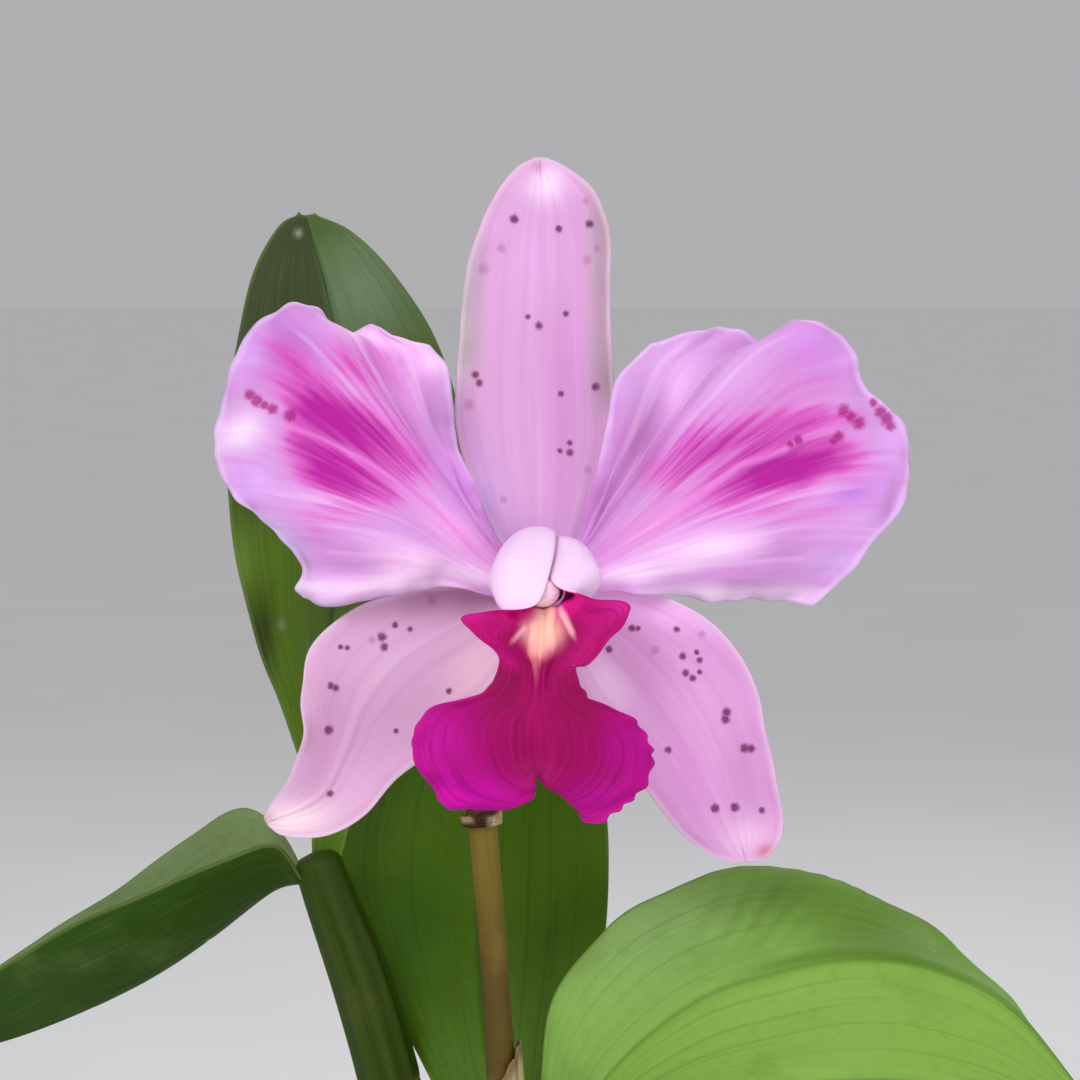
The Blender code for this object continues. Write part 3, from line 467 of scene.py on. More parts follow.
class Sheet:
    """A grid laid out by two fractions: across it, from left to right, and along it, base to tip."""

    def __init__(self, name, columns, rows):
        bpy.ops.object.select_all(action="DESELECT")
        bpy.ops.mesh.primitive_grid_add(x_subdivisions=columns, y_subdivisions=rows, size=1)
        self.piece = bpy.context.object
        self.piece.name = name
        self.mesh = self.piece.data
        self.mesh.name = name
        corners = np.empty(len(self.mesh.vertices) * 3)
        self.mesh.vertices.foreach_get("co", corners)
        corners = corners.reshape(-1, 3)
        self.column = np.rint((corners[:, 0] + 0.5) * columns).astype(int)
        self.row = np.rint((corners[:, 1] + 0.5) * rows).astype(int)
        self.across = np.linspace(0, 1, columns + 1)[None, :]
        self.along = np.linspace(0, 1, rows + 1)[:, None]
        self.shape = (rows + 1, columns + 1)

    def lay(self, places):
        self.mesh.vertices.foreach_set("co", places[self.row, self.column].ravel())
        self.mesh.update()

    def note(self, name, values):
        """Keep a value at each point, for the material to read."""
        values = np.broadcast_to(values, self.shape)
        held = self.mesh.attributes.new(name, "FLOAT", "POINT")
        held.data.foreach_set("value", values[self.row, self.column].ravel())

    def paint(self, name, colours):
        held = self.mesh.attributes.new(name, "FLOAT_COLOR", "POINT")
        full = np.ones((*self.shape, 4))
        full[..., :3] = np.clip(colours, 0, 1)
        held.data.foreach_set("color", full[self.row, self.column].ravel())

    def front(self, places):
        """Keep where each point lies in the flower's front view, in mm from its centre."""
        x, y = to_picture(places)
        held = self.mesh.attributes.new("front", "FLOAT_VECTOR", "POINT")
        run, rise = (x - CENTRE_PX[0]) * PIXEL / MM, (CENTRE_PX[1] - y) * PIXEL / MM
        flat = np.stack([run, rise, np.zeros_like(x)], axis=-1)
        held.data.foreach_set("vector", flat[self.row, self.column].ravel())

    def thicken(self, thickness, thinner=None, thin=0.4, second_side=0):
        """Give the sheet its body, thinner where the mask is 1."""
        wall = self.piece.modifiers.new("body", "SOLIDIFY")
        wall.thickness = thickness
        wall.offset = 0
        wall.material_offset = second_side
        wall.material_offset_rim = second_side
        if thinner is not None:
            group = self.piece.vertex_groups.new(name="full")
            full = 1 - np.clip(np.broadcast_to(thinner, self.shape), 0, 1)
            for index, value in enumerate(full[self.row, self.column]):
                group.add([index], float(value), "REPLACE")
            wall.vertex_group = "full"
            wall.thickness_vertex_group = thin
        select_only(self.piece)
        bpy.ops.object.shade_smooth()
        bpy.ops.object.modifier_apply(modifier=wall.name)
        return self.piece

    def close(self):
        """Join the seam and the ends of a grid that is wrapped round."""
        select_only(self.piece)
        bpy.ops.object.mode_set(mode="EDIT")
        bpy.ops.mesh.select_all(action="SELECT")
        bpy.ops.mesh.remove_doubles(threshold=0.000001)
        bpy.ops.mesh.normals_make_consistent(inside=False)
        bpy.ops.object.mode_set(mode="OBJECT")
        bpy.ops.object.shade_smooth()
        return self.piece


class Finish:
    """A material, laid down node by node."""

    def __init__(self, name, roughness=0.5, shine=0.5, coat=0.0, sheen=0.0):
        self.material = bpy.data.materials.new(name)
        self.material.use_nodes = True
        self.tree = self.material.node_tree
        self.shader = self.tree.nodes["Principled BSDF"]
        self.shader.inputs["Roughness"].default_value = roughness
        self.shader.inputs["Specular IOR Level"].default_value = shine
        self.shader.inputs["Coat Weight"].default_value = coat
        self.shader.inputs["Coat Roughness"].default_value = 0.38
        self.shader.inputs["Sheen Weight"].default_value = sheen

    def put(self, socket, value):
        if isinstance(value, bpy.types.NodeSocket):
            self.tree.links.new(value, socket)
        elif isinstance(value, tuple) and socket.type == "RGBA":
            socket.default_value = (*value[:3], 1)
        else:
            socket.default_value = value

    def node(self, kind, inputs, result=0, **settings):
        made = self.tree.nodes.new(kind)
        for setting, value in settings.items():
            setattr(made, setting, value)
        for socket, value in inputs.items():
            self.put(made.inputs[socket], value)
        return made.outputs[result]

    def kept(self, name, result="Fac"):
        return self.node("ShaderNodeAttribute", {}, result, attribute_name=name)

    def where(self, result="Object"):
        """Where a point is: in the plant's own space, or on the piece's UV map."""
        return self.node("ShaderNodeTexCoord", {}, result)

    def stretched(self, vector, scale):
        return self.node("ShaderNodeMapping", {"Vector": vector, "Scale": scale})

    def noise(self, vector, scale=1.0, detail=3.0, roughness=0.55, twist=0.0):
        return self.node("ShaderNodeTexNoise", {
            "Vector": vector, "Scale": scale, "Detail": detail, "Roughness": roughness,
            "Distortion": twist})

    def drawn(self, vector, across, along, detail=3.0, roughness=0.55, twist=0.0):
        """Noise drawn out along a piece, by how often it changes across it and along it."""
        return self.noise(self.stretched(vector, (across, along, 1)), 1.0, detail, roughness, twist)

    def cells(self, vector, scale, feature="F1"):
        return self.node(
            "ShaderNodeTexVoronoi", {"Vector": vector, "Scale": scale}, "Distance", feature=feature)

    def sum(self, first, second, operation="ADD"):
        return self.node("ShaderNodeMath", {0: first, 1: second}, operation=operation)

    def times(self, first, second):
        return self.sum(first, second, "MULTIPLY")

    def step(self, value, low, high, to_low=0.0, to_high=1.0):
        return self.node(
            "ShaderNodeMapRange",
            {"Value": value, "From Min": low, "From Max": high, "To Min": to_low, "To Max": to_high},
            interpolation_type="SMOOTHSTEP")

    def blend(self, part, first, second, way="MIX"):
        made = self.tree.nodes.new("ShaderNodeMix")
        made.data_type = "RGBA"
        made.blend_type = way
        self.put(made.inputs[0], part)
        self.put(made.inputs[6], first)
        self.put(made.inputs[7], second)
        return made.outputs[2]

    def spots(self, vector, places, ragged):
        """Spots of pigment at places of the photograph, each with its half width, all in px."""
        wobble = self.noise(vector, 1.6, 2)
        covered = 0.0
        for x, y, size in places:
            centre = ((x - CENTRE_PX[0]) * PIXEL / MM, (CENTRE_PX[1] - y) * PIXEL / MM, 0)
            away = self.node(
                "ShaderNodeVectorMath", {0: vector, 1: centre}, "Value", operation="DISTANCE")
            reach = size * PIXEL / MM
            away = self.sum(away, self.times(self.sum(wobble, 0.5, "SUBTRACT"), ragged * reach))
            one = self.step(away, reach * 0.40, reach * 1.35, 1.0, 0.0)
            covered = self.sum(one, covered, "MAXIMUM")
        return covered

    def ground(self, value):
        """Start the colour that the next ones are laid over."""
        self.colour = value

    def overlay(self, part, value, way="MIX"):
        self.colour = self.blend(part, self.colour, value, way)

    def tinge(self, value, low, high, most, colour, way="MIX"):
        """Lay a colour over the rest, up to its most, as the value goes from low to high."""
        self.overlay(self.step(value, low, high, 0.0, most), colour, way)

    def show(self):
        self.put(self.shader.inputs["Base Color"], self.colour)

    def roughness(self, value):
        self.put(self.shader.inputs["Roughness"], value)

    def bump(self, height, distance, strength=1.0):
        settings = {"Height": height, "Distance": distance, "Strength": strength}
        normal = self.node("ShaderNodeBump", settings, "Normal")
        self.put(self.shader.inputs["Normal"], normal)


def flesh(finish, weight, scale=1.2 * MM):
    """Light that enters a thin petal or leaf and comes out again."""
    finish.shader.inputs["Subsurface Weight"].default_value = weight
    finish.shader.inputs["Subsurface Radius"].default_value = (1.0, 0.55, 0.8)
    finish.shader.inputs["Subsurface Scale"].default_value = scale


def two_sided(finish, name, *spots):
    """The finishes of a blade: its back, then its front."""
    return finish(name + "_back", *spots, behind=BACK_SHARE), finish(name, *spots)


def dress_sides(sheet, back, front):
    """Dress a flat sheet in its two finishes, the front one on the side that faces the viewer."""
    sides = sum(face.normal.y * face.area for face in sheet.mesh.polygons)
    dress(sheet.piece, *((front, back) if sides < 0 else (back, front)))


def dress(piece, *materials):
    for material in materials:
        piece.data.materials.append(material)


def grown(piece, slot, *nodes):
    """The finished piece rides on the plant and stands for its solid. The slot is not used."""
    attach(piece, "root")
    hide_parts(*nodes)


def sepal_finish(name, spots, faint, behind=0.0):
    """Pale satin with lengthwise streaks, a greyer rim and purple spots; paler behind."""
    made = Finish(name, 0.55, shine=0.2)
    flesh(made, 0.25)
    lengthwise = made.where("UV")
    front = made.kept("front", "Vector")
    streaks = made.drawn(lengthwise, 13, 0.9, 4, 0.5)
    hairs = made.drawn(lengthwise, 70, 1.6, 2)
    cloud = made.noise(made.where(), 90, 3)
    made.ground(made.kept("tint", "Color"))
    made.tinge(streaks, 0.46, 0.68, 0.22, tone(0.78, 0.50, 0.75))
    made.tinge(streaks, 0.46, 0.30, 0.16, tone(0.95, 0.80, 0.92))
    made.tinge(hairs, 0.52, 0.72, 0.10, tone(0.74, 0.48, 0.72))
    made.tinge(cloud, 0.52, 0.72, 0.15, tone(0.82, 0.60, 0.82))
    made.tinge(made.kept("margin"), 0.2, 1.0, 0.45, SEPAL_RIM)
    pale = made.times(made.spots(front, faint, 0.8), 0.42)
    made.overlay(pale, tone(0.66, 0.36, 0.60))
    strong = made.times(made.spots(front, spots, 0.8), 0.90)
    made.overlay(strong, SPOT_PURPLE)
    made.overlay(behind, BACK_LILAC)
    made.show()
    grain = made.noise(made.where(), 2600, 2)
    made.bump(made.sum(made.times(hairs, 0.9), made.times(grain, 0.35)), 0.12 * MM, 0.5)
    made.roughness(made.step(streaks, 0.3, 0.7, 0.48, 0.62))
    return made.material


def petal_finish(name, spots, behind=0.0):
    """Lilac with a feathered magenta flare that follows the veins, and a pale rim; paler behind."""
    made = Finish(name, 0.52, shine=0.2)
    flesh(made, 0.25)
    fan = made.where("UV")
    front = made.kept("front", "Vector")
    veins = made.drawn(fan, 24, 2.2, 2.5, 0.5, 0.35)
    hairs = made.drawn(fan, 64, 4.5, 2, 0.5, 0.3)
    cloud = made.noise(made.where(), 130, 3)
    flare = made.kept("flare")
    made.ground(made.kept("tint", "Color"))
    made.tinge(veins, 0.48, 0.66, 0.26, tone(0.80, 0.50, 0.80))
    made.tinge(veins, 0.45, 0.32, 0.26, tone(0.97, 0.80, 0.96))
    made.tinge(hairs, 0.50, 0.70, 0.18, tone(0.78, 0.48, 0.80))
    made.tinge(cloud, 0.50, 0.75, 0.16, tone(0.80, 0.56, 0.84))
    feather = made.sum(veins, made.times(hairs, 0.7))
    feather = made.times(made.sum(feather, 0.85, "SUBTRACT"), 1.35)
    rough_flare = made.sum(flare, made.times(feather, made.step(flare, 0.02, 0.45)))
    made.tinge(rough_flare, 0.02, 0.70, 0.88, FLARE_ROSE)
    made.tinge(rough_flare, 0.36, 1.25, 0.97, FLARE_DEEP)
    made.overlay(made.times(made.kept("midline"), 0.75), tone(0.90, 0.50, 0.84))
    made.tinge(made.kept("margin"), 0.1, 1.0, 0.5, PETAL_RIM)
    strong = made.times(made.spots(front, spots, 0.9), 0.85)
    made.overlay(strong, tone(0.66, 0.08, 0.50))
    made.overlay(behind, BACK_LILAC)
    made.show()
    grain = made.noise(made.where(), 2400, 2)
    fine = made.sum(made.times(hairs, 0.8), made.times(grain, 0.3))
    relief = made.sum(made.times(veins, 1.2), fine)
    made.bump(relief, 0.16 * MM, 0.55)
    made.roughness(made.step(veins, 0.3, 0.7, 0.46, 0.60))
    return made.material


def lip_inside_finish():
    """Deep crimson velvet with darker branching veins, and a smooth pale throat."""
    made = Finish("lip_velvet", 0.6, shine=0.10, sheen=0.04)
    made.shader.inputs["Sheen Tint"].default_value = (*tone(0.95, 0.35, 0.70), 1)
    flesh(made, 0.06, 0.6 * MM)
    fan = made.where("UV")
    veins = made.drawn(fan, 48, 3.0, 4, 0.6, 0.4)
    hairs = made.drawn(fan, 150, 9.0, 3)
    cloud = made.noise(made.where(), 210, 3)
    made.ground(made.kept("tint", "Color"))
    made.tinge(veins, 0.50, 0.70, 0.38, tone(0.42, 0.0, 0.22), "MULTIPLY")
    made.tinge(veins, 0.44, 0.30, 0.20, tone(0.84, 0.12, 0.56))
    made.tinge(hairs, 0.54, 0.72, 0.22, tone(0.5, 0.02, 0.3), "MULTIPLY")
    made.tinge(cloud, 0.50, 0.75, 0.18, tone(0.55, 0.02, 0.34))
    made.overlay(made.step(made.kept("throat"), 0.25, 0.9), made.kept("throat_tint", "Color"))
    made.tinge(made.kept("margin"), 0.2, 1.0, 0.35, tone(0.80, 0.12, 0.62))
    made.show()
    grain = made.noise(made.where(), 1900, 3)
    made.bump(made.sum(veins, made.times(grain, 0.8)), 0.16 * MM, 0.6)
    return made.material


def lip_outside_finish():
    """The back of the lip: white lilac over the hood, flushed magenta towards the front lobe."""
    made = Finish("lip_hood", 0.45, shine=0.4)
    flesh(made, 0.3)
    fan = made.where("UV")
    veins = made.drawn(fan, 30, 1.6, 3, 0.55, 0.3)
    cloud = made.noise(made.where(), 160, 3)
    made.ground(made.kept("hood_tint", "Color"))
    made.tinge(veins, 0.50, 0.72, 0.22, tone(0.90, 0.66, 0.90))
    made.tinge(cloud, 0.55, 0.75, 0.20, tone(0.93, 0.76, 0.94))
    made.show()
    grain = made.noise(made.where(), 2400, 2)
    made.bump(made.sum(veins, made.times(grain, 0.3)), 0.12 * MM, 0.5)
    return made.material


def leaf_finish(name, darker, paler, gloss, rippled=0.0):
    """Leathery green with fine lengthwise veins, mottling, a pale rim and a dusty bloom."""
    made = Finish(name, gloss, shine=0.14, coat=0.015)
    lengthwise = made.where("UV")
    veins = made.drawn(lengthwise, 46, 1.4, 3)
    hairs = made.drawn(lengthwise, 180, 5.0, 3)
    cloud = made.noise(made.where(), 45, 4, 0.6)
    mottle = made.noise(made.where(), 420, 3)
    made.ground(made.kept("tint", "Color"))
    made.tinge(cloud, 0.50, 0.72, 0.28, darker)
    made.tinge(cloud, 0.46, 0.28, 0.25, paler)
    made.tinge(veins, 0.52, 0.68, 0.28, darker)
    made.tinge(hairs, 0.50, 0.66, 0.18, paler)
    made.tinge(mottle, 0.52, 0.72, 0.12, darker)
    made.overlay(made.times(made.kept("rib"), 0.55), darker)
    made.tinge(made.kept("margin"), 0.2, 1.0, 0.45, tone(0.44, 0.50, 0.26))
    dust = made.cells(made.where(), 95)
    cluster = made.noise(made.where(), 30, 2)
    fleck = made.times(made.step(dust, 0.085, 0.05), made.step(cluster, 0.55, 0.7))
    made.overlay(made.times(fleck, 0.5), tone(0.66, 0.70, 0.56))
    made.show()
    cross = made.drawn(lengthwise, 5, 70, 3, 0.55, 0.5)
    relief = made.sum(veins, made.times(hairs, 0.35))
    relief = made.sum(relief, made.times(cross, 0.25 + rippled))
    made.bump(relief, 0.35 * MM, 0.45)
    made.roughness(made.step(cloud, 0.3, 0.7, gloss - 0.06, gloss + 0.12))
    return made.material


def bulb_finish():
    """Ribbed green skin, yellower on its ridges, with corky scars and a silvery film."""
    made = Finish("bulb_skin_ribbed", 0.5, shine=0.15)
    lengthwise = made.where("UV")
    streaks = made.drawn(lengthwise, 22, 1.5, 4)
    threads = made.drawn(lengthwise, 110, 3.0, 3)
    cloud = made.noise(made.where(), 70, 4)
    made.ground(tone(0.16, 0.24, 0.0))
    made.overlay(made.kept("ridge"), tone(0.20, 0.29, 0.02))
    made.tinge(streaks, 0.48, 0.70, 0.30, tone(0.13, 0.19, 0.02))
    made.tinge(threads, 0.52, 0.70, 0.18, tone(0.38, 0.42, 0.18))
    made.tinge(cloud, 0.56, 0.74, 0.30, tone(0.36, 0.34, 0.15))
    made.overlay(made.times(made.kept("ring"), 0.6), tone(0.46, 0.40, 0.25))
    made.show()
    made.bump(made.sum(streaks, made.times(threads, 0.6)), 0.3 * MM, 0.5)
    return made.material


def bract_finish():
    """Papery straw-coloured sheath with parallel fibres and darker weathering."""
    made = Finish("dry_bract_papery", 0.78, shine=0.2)
    lengthwise = made.where("UV")
    fibres = made.drawn(lengthwise, 90, 2.2, 4, 0.65)
    streaks = made.drawn(lengthwise, 20, 1.2, 3)
    stain = made.noise(made.where(), 110, 4, 0.65)
    made.ground(tone(0.80, 0.73, 0.58))
    made.tinge(streaks, 0.35, 0.65, 1.0, tone(0.66, 0.56, 0.40))
    made.tinge(fibres, 0.50, 0.68, 0.6, tone(0.50, 0.40, 0.27))
    made.tinge(stain, 0.55, 0.75, 0.6, tone(0.40, 0.28, 0.18))
    made.tinge(made.kept("torn"), 0.2, 1.0, 0.7, tone(0.42, 0.29, 0.19))
    made.overlay(made.kept("dark"), tone(0.24, 0.13, 0.09))
    made.show()
    made.bump(made.sum(fibres, made.times(streaks, 1.2)), 0.3 * MM, 0.6)
    return made.material


def stem_finish():
    """Olive brown stem, golden where the light takes it, with fine lengthwise lines and freckles."""
    made = Finish("stem_skin_lined", 0.55, shine=0.22)
    lengthwise = made.where("UV")
    lines = made.drawn(lengthwise, 40, 2.5, 3)
    cloud = made.noise(made.where(), 120, 4)
    freckles = made.cells(made.where(), 900)
    made.ground(made.kept("tint", "Color"))
    made.tinge(lines, 0.50, 0.70, 0.45, tone(0.36, 0.28, 0.10))
    made.tinge(cloud, 0.52, 0.72, 0.30, tone(0.55, 0.46, 0.20))
    made.overlay(made.times(made.step(freckles, 0.22, 0.12), 0.4), tone(0.36, 0.14, 0.14))
    made.show()
    made.bump(made.sum(lines, made.times(cloud, 0.5)), 0.2 * MM, 0.5)
    return made.material


def column_finish():
    made = Finish("column_waxy", 0.38, shine=0.45)
    flesh(made, 0.3)
    lengthwise = made.where("UV")
    streaks = made.drawn(lengthwise, 16, 1.6, 3)
    made.ground(tone(0.98, 0.88, 0.95))
    made.tinge(streaks, 0.40, 0.62, 1.0, tone(0.95, 0.79, 0.90))
    cloud = made.noise(made.where(), 300, 3)
    made.tinge(cloud, 0.55, 0.75, 0.4, tone(0.80, 0.42, 0.66))
    made.show()
    made.bump(streaks, 0.1 * MM, 0.5)
    return made.material


def rhizome_finish():
    """Woody creeping stem, ringed and scaly."""
    made = Finish("rhizome_skin_woody", 0.72, shine=0.3)
    rings = made.drawn(made.where("UV"), 4, 34, 4, 0.6)
    cloud = made.noise(made.where(), 220, 4, 0.65)
    made.ground(tone(0.45, 0.42, 0.24))
    made.tinge(rings, 0.35, 0.65, 1.0, tone(0.34, 0.26, 0.15))
    made.tinge(cloud, 0.50, 0.72, 0.7, tone(0.24, 0.17, 0.10))
    made.show()
    made.bump(made.sum(rings, cloud), 0.5 * MM, 0.8)
    return made.material


def root_finish():
    """Spongy silver-white root skin with green showing through."""
    made = Finish("root_skin_silver", 0.85, shine=0.2)
    cloud = made.noise(made.where(), 260, 4, 0.65)
    threads = made.drawn(made.where("UV"), 12, 22, 3)
    made.ground(tone(0.80, 0.79, 0.70))
    made.tinge(threads, 0.35, 0.68, 1.0, tone(0.66, 0.66, 0.54))
    made.tinge(cloud, 0.52, 0.70, 0.6, tone(0.52, 0.56, 0.38))
    made.tinge(cloud, 0.42, 0.28, 0.6, tone(0.50, 0.40, 0.28))
    made.show()
    made.bump(made.sum(cloud, made.times(threads, 0.7)), 0.35 * MM, 0.7)
    return made.material


def bark_finish():
    """Broken fir bark, each chunk its own brown, layered and cracked."""
    made = Finish("bark_broken", 0.92, shine=0.2)
    place = made.where()
    layers = made.noise(made.stretched(place, (1, 1, 3.2)), 240, 5, 0.7, 0.4)
    cracks = made.cells(place, 420, "DISTANCE_TO_EDGE")
    dust = made.noise(place, 1500, 4, 0.7)
    made.ground(tone(0.36, 0.24, 0.17))
    made.overlay(made.kept("own"), tone(0.56, 0.37, 0.25))
    made.tinge(layers, 0.46, 0.66, 0.75, tone(0.25, 0.16, 0.11))
    made.tinge(layers, 0.42, 0.28, 0.55, tone(0.66, 0.47, 0.33))
    made.tinge(cracks, 0.06, 0.0, 0.6, tone(0.18, 0.11, 0.08))
    made.tinge(dust, 0.55, 0.70, 0.35, tone(0.62, 0.52, 0.42))
    made.show()
    fine = made.sum(made.times(cracks, 0.8), made.times(dust, 0.3))
    made.bump(made.sum(layers, fine), 0.9 * MM, 0.8)
    return made.material


def clay_finish():
    """Fired clay with throwing lines, lime bloom and a damp, darker foot."""
    made = Finish("clay_fired", 0.88, shine=0.25)
    place = made.where()
    cloud = made.noise(place, 26, 5, 0.6)
    speck = made.noise(place, 900, 4, 0.7)
    rings = made.noise(made.stretched(place, (6, 6, 520)), 1.0, 3, 0.6)
    bloom = made.noise(place, 55, 6, 0.7, 0.6)
    height = made.node("ShaderNodeSeparateXYZ", {"Vector": place}, "Z")
    made.ground(tone(0.76, 0.46, 0.33))
    made.tinge(cloud, 0.35, 0.68, 1.0, tone(0.66, 0.37, 0.25))
    made.tinge(speck, 0.54, 0.68, 0.35, tone(0.52, 0.28, 0.19))
    made.tinge(speck, 0.42, 0.30, 0.30, tone(0.84, 0.58, 0.45))
    made.tinge(rings, 0.50, 0.68, 0.22, tone(0.60, 0.34, 0.23))
    damp = made.step(made.sum(height, made.times(cloud, 0.03)), 0.045, 0.018, 0.0, 0.45)
    made.overlay(damp, tone(0.50, 0.29, 0.20))
    rim_bloom = made.step(height, 0.070, 0.100, 0.15, 0.60)
    salts = made.times(made.step(bloom, 0.54, 0.70), rim_bloom)
    made.overlay(salts, tone(0.90, 0.84, 0.77))
    made.show()
    fine = made.sum(made.times(speck, 0.5), made.times(bloom, 0.3))
    made.bump(made.sum(made.times(rings, 0.6), fine), 0.35 * MM, 0.55)
    return made.material


def blade(sheet, margins, keel):
    """A shallow bowl between left margin, midrib and right margin, folded by the keel's share."""
    left, middle, right = (along_curve(line, sheet.along[:, 0])[:, None] for line in margins)
    side = (2 * sheet.across - 1)[..., None]
    bowl = left * side * (side - 1) / 2 + middle * (1 - side * side) + right * side * (side + 1) / 2
    fold = middle + (np.where(side < 0, left, right) - middle) * np.abs(side)
    return bowl * (1 - keel) + fold * keel


def sepal(name, node, margins, rows, tint, finish):
    """A sepal: a blade with fine lengthwise ribs, a creased midline and a thin, waved rim."""
    sheet = Sheet(name, SEPAL_COLUMNS, rows)
    places = blade(sheet, [from_picture(line) for line in margins], SEPAL_KEEL)
    side = 2 * sheet.across - 1
    near = margin_distance(places)
    x, y = to_picture(places)
    ribs = np.cos(side * SEPAL_RIBS * math.pi) * 0.02
    ribs = ribs + ripple(x, y, 120, 3) * 0.25 * smooth(near, 0, 4 * MM)
    waves = ripple(x, y, 62, 11) * 0.45 * (1 - smooth(near, 0, 3.5 * MM))
    crease = -0.30 * np.exp(-(side / 0.07) ** 2)
    lift = (ribs + waves + crease) * smooth(sheet.along, 0.1, 0.4) * MM
    places = places + facing(places) * lift[..., None]
    sheet.lay(moved(places, FLOWER))
    sheet.front(places)
    sheet.paint("tint", tint(x, y))
    sheet.note("margin", 1 - smooth(near, 0.2 * MM, 1.6 * MM))
    dress_sides(sheet, *finish)
    piece = sheet.thicken(SEPAL_THICKNESS, 1 - smooth(near, 0, 2.2 * MM), second_side=1)
    grown(piece, "sepal_skin", node)


def dorsal_tint(x, y):
    colour = plain(x.shape, DORSAL_PINK)
    # Painted shade: the two greyer bands down the upper left and right edges, where the margins turn
    # back.
    colour = layer(colour, (1 - smooth(x, 462, 492)) * (1 - smooth(y, 340, 420)), DORSAL_EDGE_SHADE)
    colour = layer(colour, smooth(x, 580, 602) * (1 - smooth(y, 380, 440)), tone(0.69, 0.60, 0.64))
    return painted(x, y, colour, [
        (566, 400, 22, 170, 0, tone(0.80, 0.56, 0.79), 0.75),
        (488, 500, 24, 60, -12, tone(0.78, 0.63, 0.85), 0.7),
        (530, 250, 34, 50, 0, tone(0.90, 0.71, 0.91), 0.6),
        # Painted highlight: the white oval near the tip, where it curves forward.
        (545, 183, 20, 20, 0, PETAL_WHITE, 0.9),
        (537, 166, 6, 6, 0, tone(0.84, 0.56, 0.74), 0.7),
        # Painted shade: the darker oval across the base, between the petals.
        (540, 550, 70, 34, 0, tone(0.76, 0.58, 0.82), 0.5),
    ])


def left_sepal_tint(x, y):
    return painted(x, y, SEPAL_PINK, [
        (478, 668, 34, 46, 20, SEPAL_CREAM, 0.9),
        (450, 600, 60, 20, 0, SEPAL_SHADE, 0.95),
        (400, 660, 50, 30, -30, tone(0.89, 0.73, 0.86), 0.7),
        (318, 745, 22, 70, 15, tone(0.79, 0.58, 0.74), 0.7),
        (385, 735, 22, 60, 40, tone(0.84, 0.64, 0.80), 0.6),
        (292, 818, 38, 20, 0, tone(0.99, 0.88, 0.91), 1.0),
        (267, 818, 7, 7, 0, tone(0.80, 0.62, 0.60), 0.7),
    ])


def right_sepal_tint(x, y):
    return painted(x, y, tone(0.85, 0.62, 0.83), [
        # Painted light: the two palest ovals, by the lip and under the petal, lighten the shadows
        # these cast.
        (604, 684, 26, 44, -20, tone(1.0, 0.86, 0.98), 0.95),
        (660, 612, 60, 16, 10, tone(0.96, 0.75, 0.96), 0.9),
        (640, 655, 40, 26, 30, tone(0.80, 0.57, 0.77), 0.8),
        (700, 715, 26, 60, -20, tone(0.88, 0.67, 0.86), 0.7),
        (690, 780, 20, 46, -20, tone(0.82, 0.54, 0.80), 0.7),
        (744, 775, 20, 44, -12, tone(0.78, 0.56, 0.76), 0.7),
        (748, 838, 24, 20, 0, tone(0.94, 0.78, 0.90), 0.9),
        (766, 851, 10, 7, 0, tone(0.84, 0.44, 0.58), 0.85),
    ])


def petal(name, node, outlines, tint, flare_lines, midline, turned_margin, finish):
    """A petal between its side edges and its far margin, with a sunk midline and a ruffled rim."""
    sheet = Sheet(name, *PETAL_GRID)
    lower, far, upper = (from_picture(line) for line in outlines)
    low = along_curve(lower, sheet.along[:, 0])[:, None]
    high = along_curve(upper, sheet.along[:, 0])[:, None]
    out = along_curve(far, sheet.across[0])[None, :]
    across = sheet.across[..., None]
    along = sheet.along[..., None]
    base = low[:1] + (high[:1] - low[:1]) * across
    sides = low + (high - low) * across
    ends = base + (out - base) * along
    corners = base + ((low[-1:] + (high[-1:] - low[-1:]) * across) - base) * along
    swell = np.sin(math.pi * across) * np.sin(math.pi * along ** 1.5)
    places = sides + ends - corners + swell * np.array((0, -PETAL_ARCH, PETAL_ARCH_SHIFT_PX * PIXEL))
    near = margin_distance(places)
    x, y = to_picture(places)
    rim = 1 - smooth(near, 0, 7 * MM)
    ruffle = ripple(x, y, 66, 5) * 1.15 * rim ** 1.5 + ripple(x, y, 31, 8) * 0.40 * rim ** 3
    roll = ripple(x, y, 150, 21) * 0.55 * (1 - rim)
    middle = stroke(x, y, midline)
    lift = (ruffle + roll - 0.55 * middle) * smooth(sheet.along, 0.08, 0.45) * MM
    places = places + facing(places) * lift[..., None]
    turned = (1 - smooth(sheet.across, 0.0, turned_margin)) * smooth(sheet.along, 0.25, 0.5)
    places[..., 1] += PETAL_TURN_BACK * turned ** 2 * (1 - smooth(sheet.along, 0.85, 1.0))
    sheet.lay(moved(places, FLOWER))
    sheet.front(places)
    flare = np.zeros(sheet.shape)
    for line in flare_lines:
        flare = np.maximum(flare, stroke(x, y, line, FLARE_SOFTNESS))
    sheet.note("flare", flare)
    sheet.note("midline", middle)
    sheet.note("margin", (1 - smooth(near, 0.2 * MM, 2.2 * MM)) * smooth(sheet.along, 0.3, 0.6))
    sheet.paint("tint", tint(x, y))
    dress_sides(sheet, *finish)
    piece = sheet.thicken(PETAL_THICKNESS, 1 - smooth(near, 0, 3 * MM), second_side=1)
    grown(piece, "petal_skin", node)


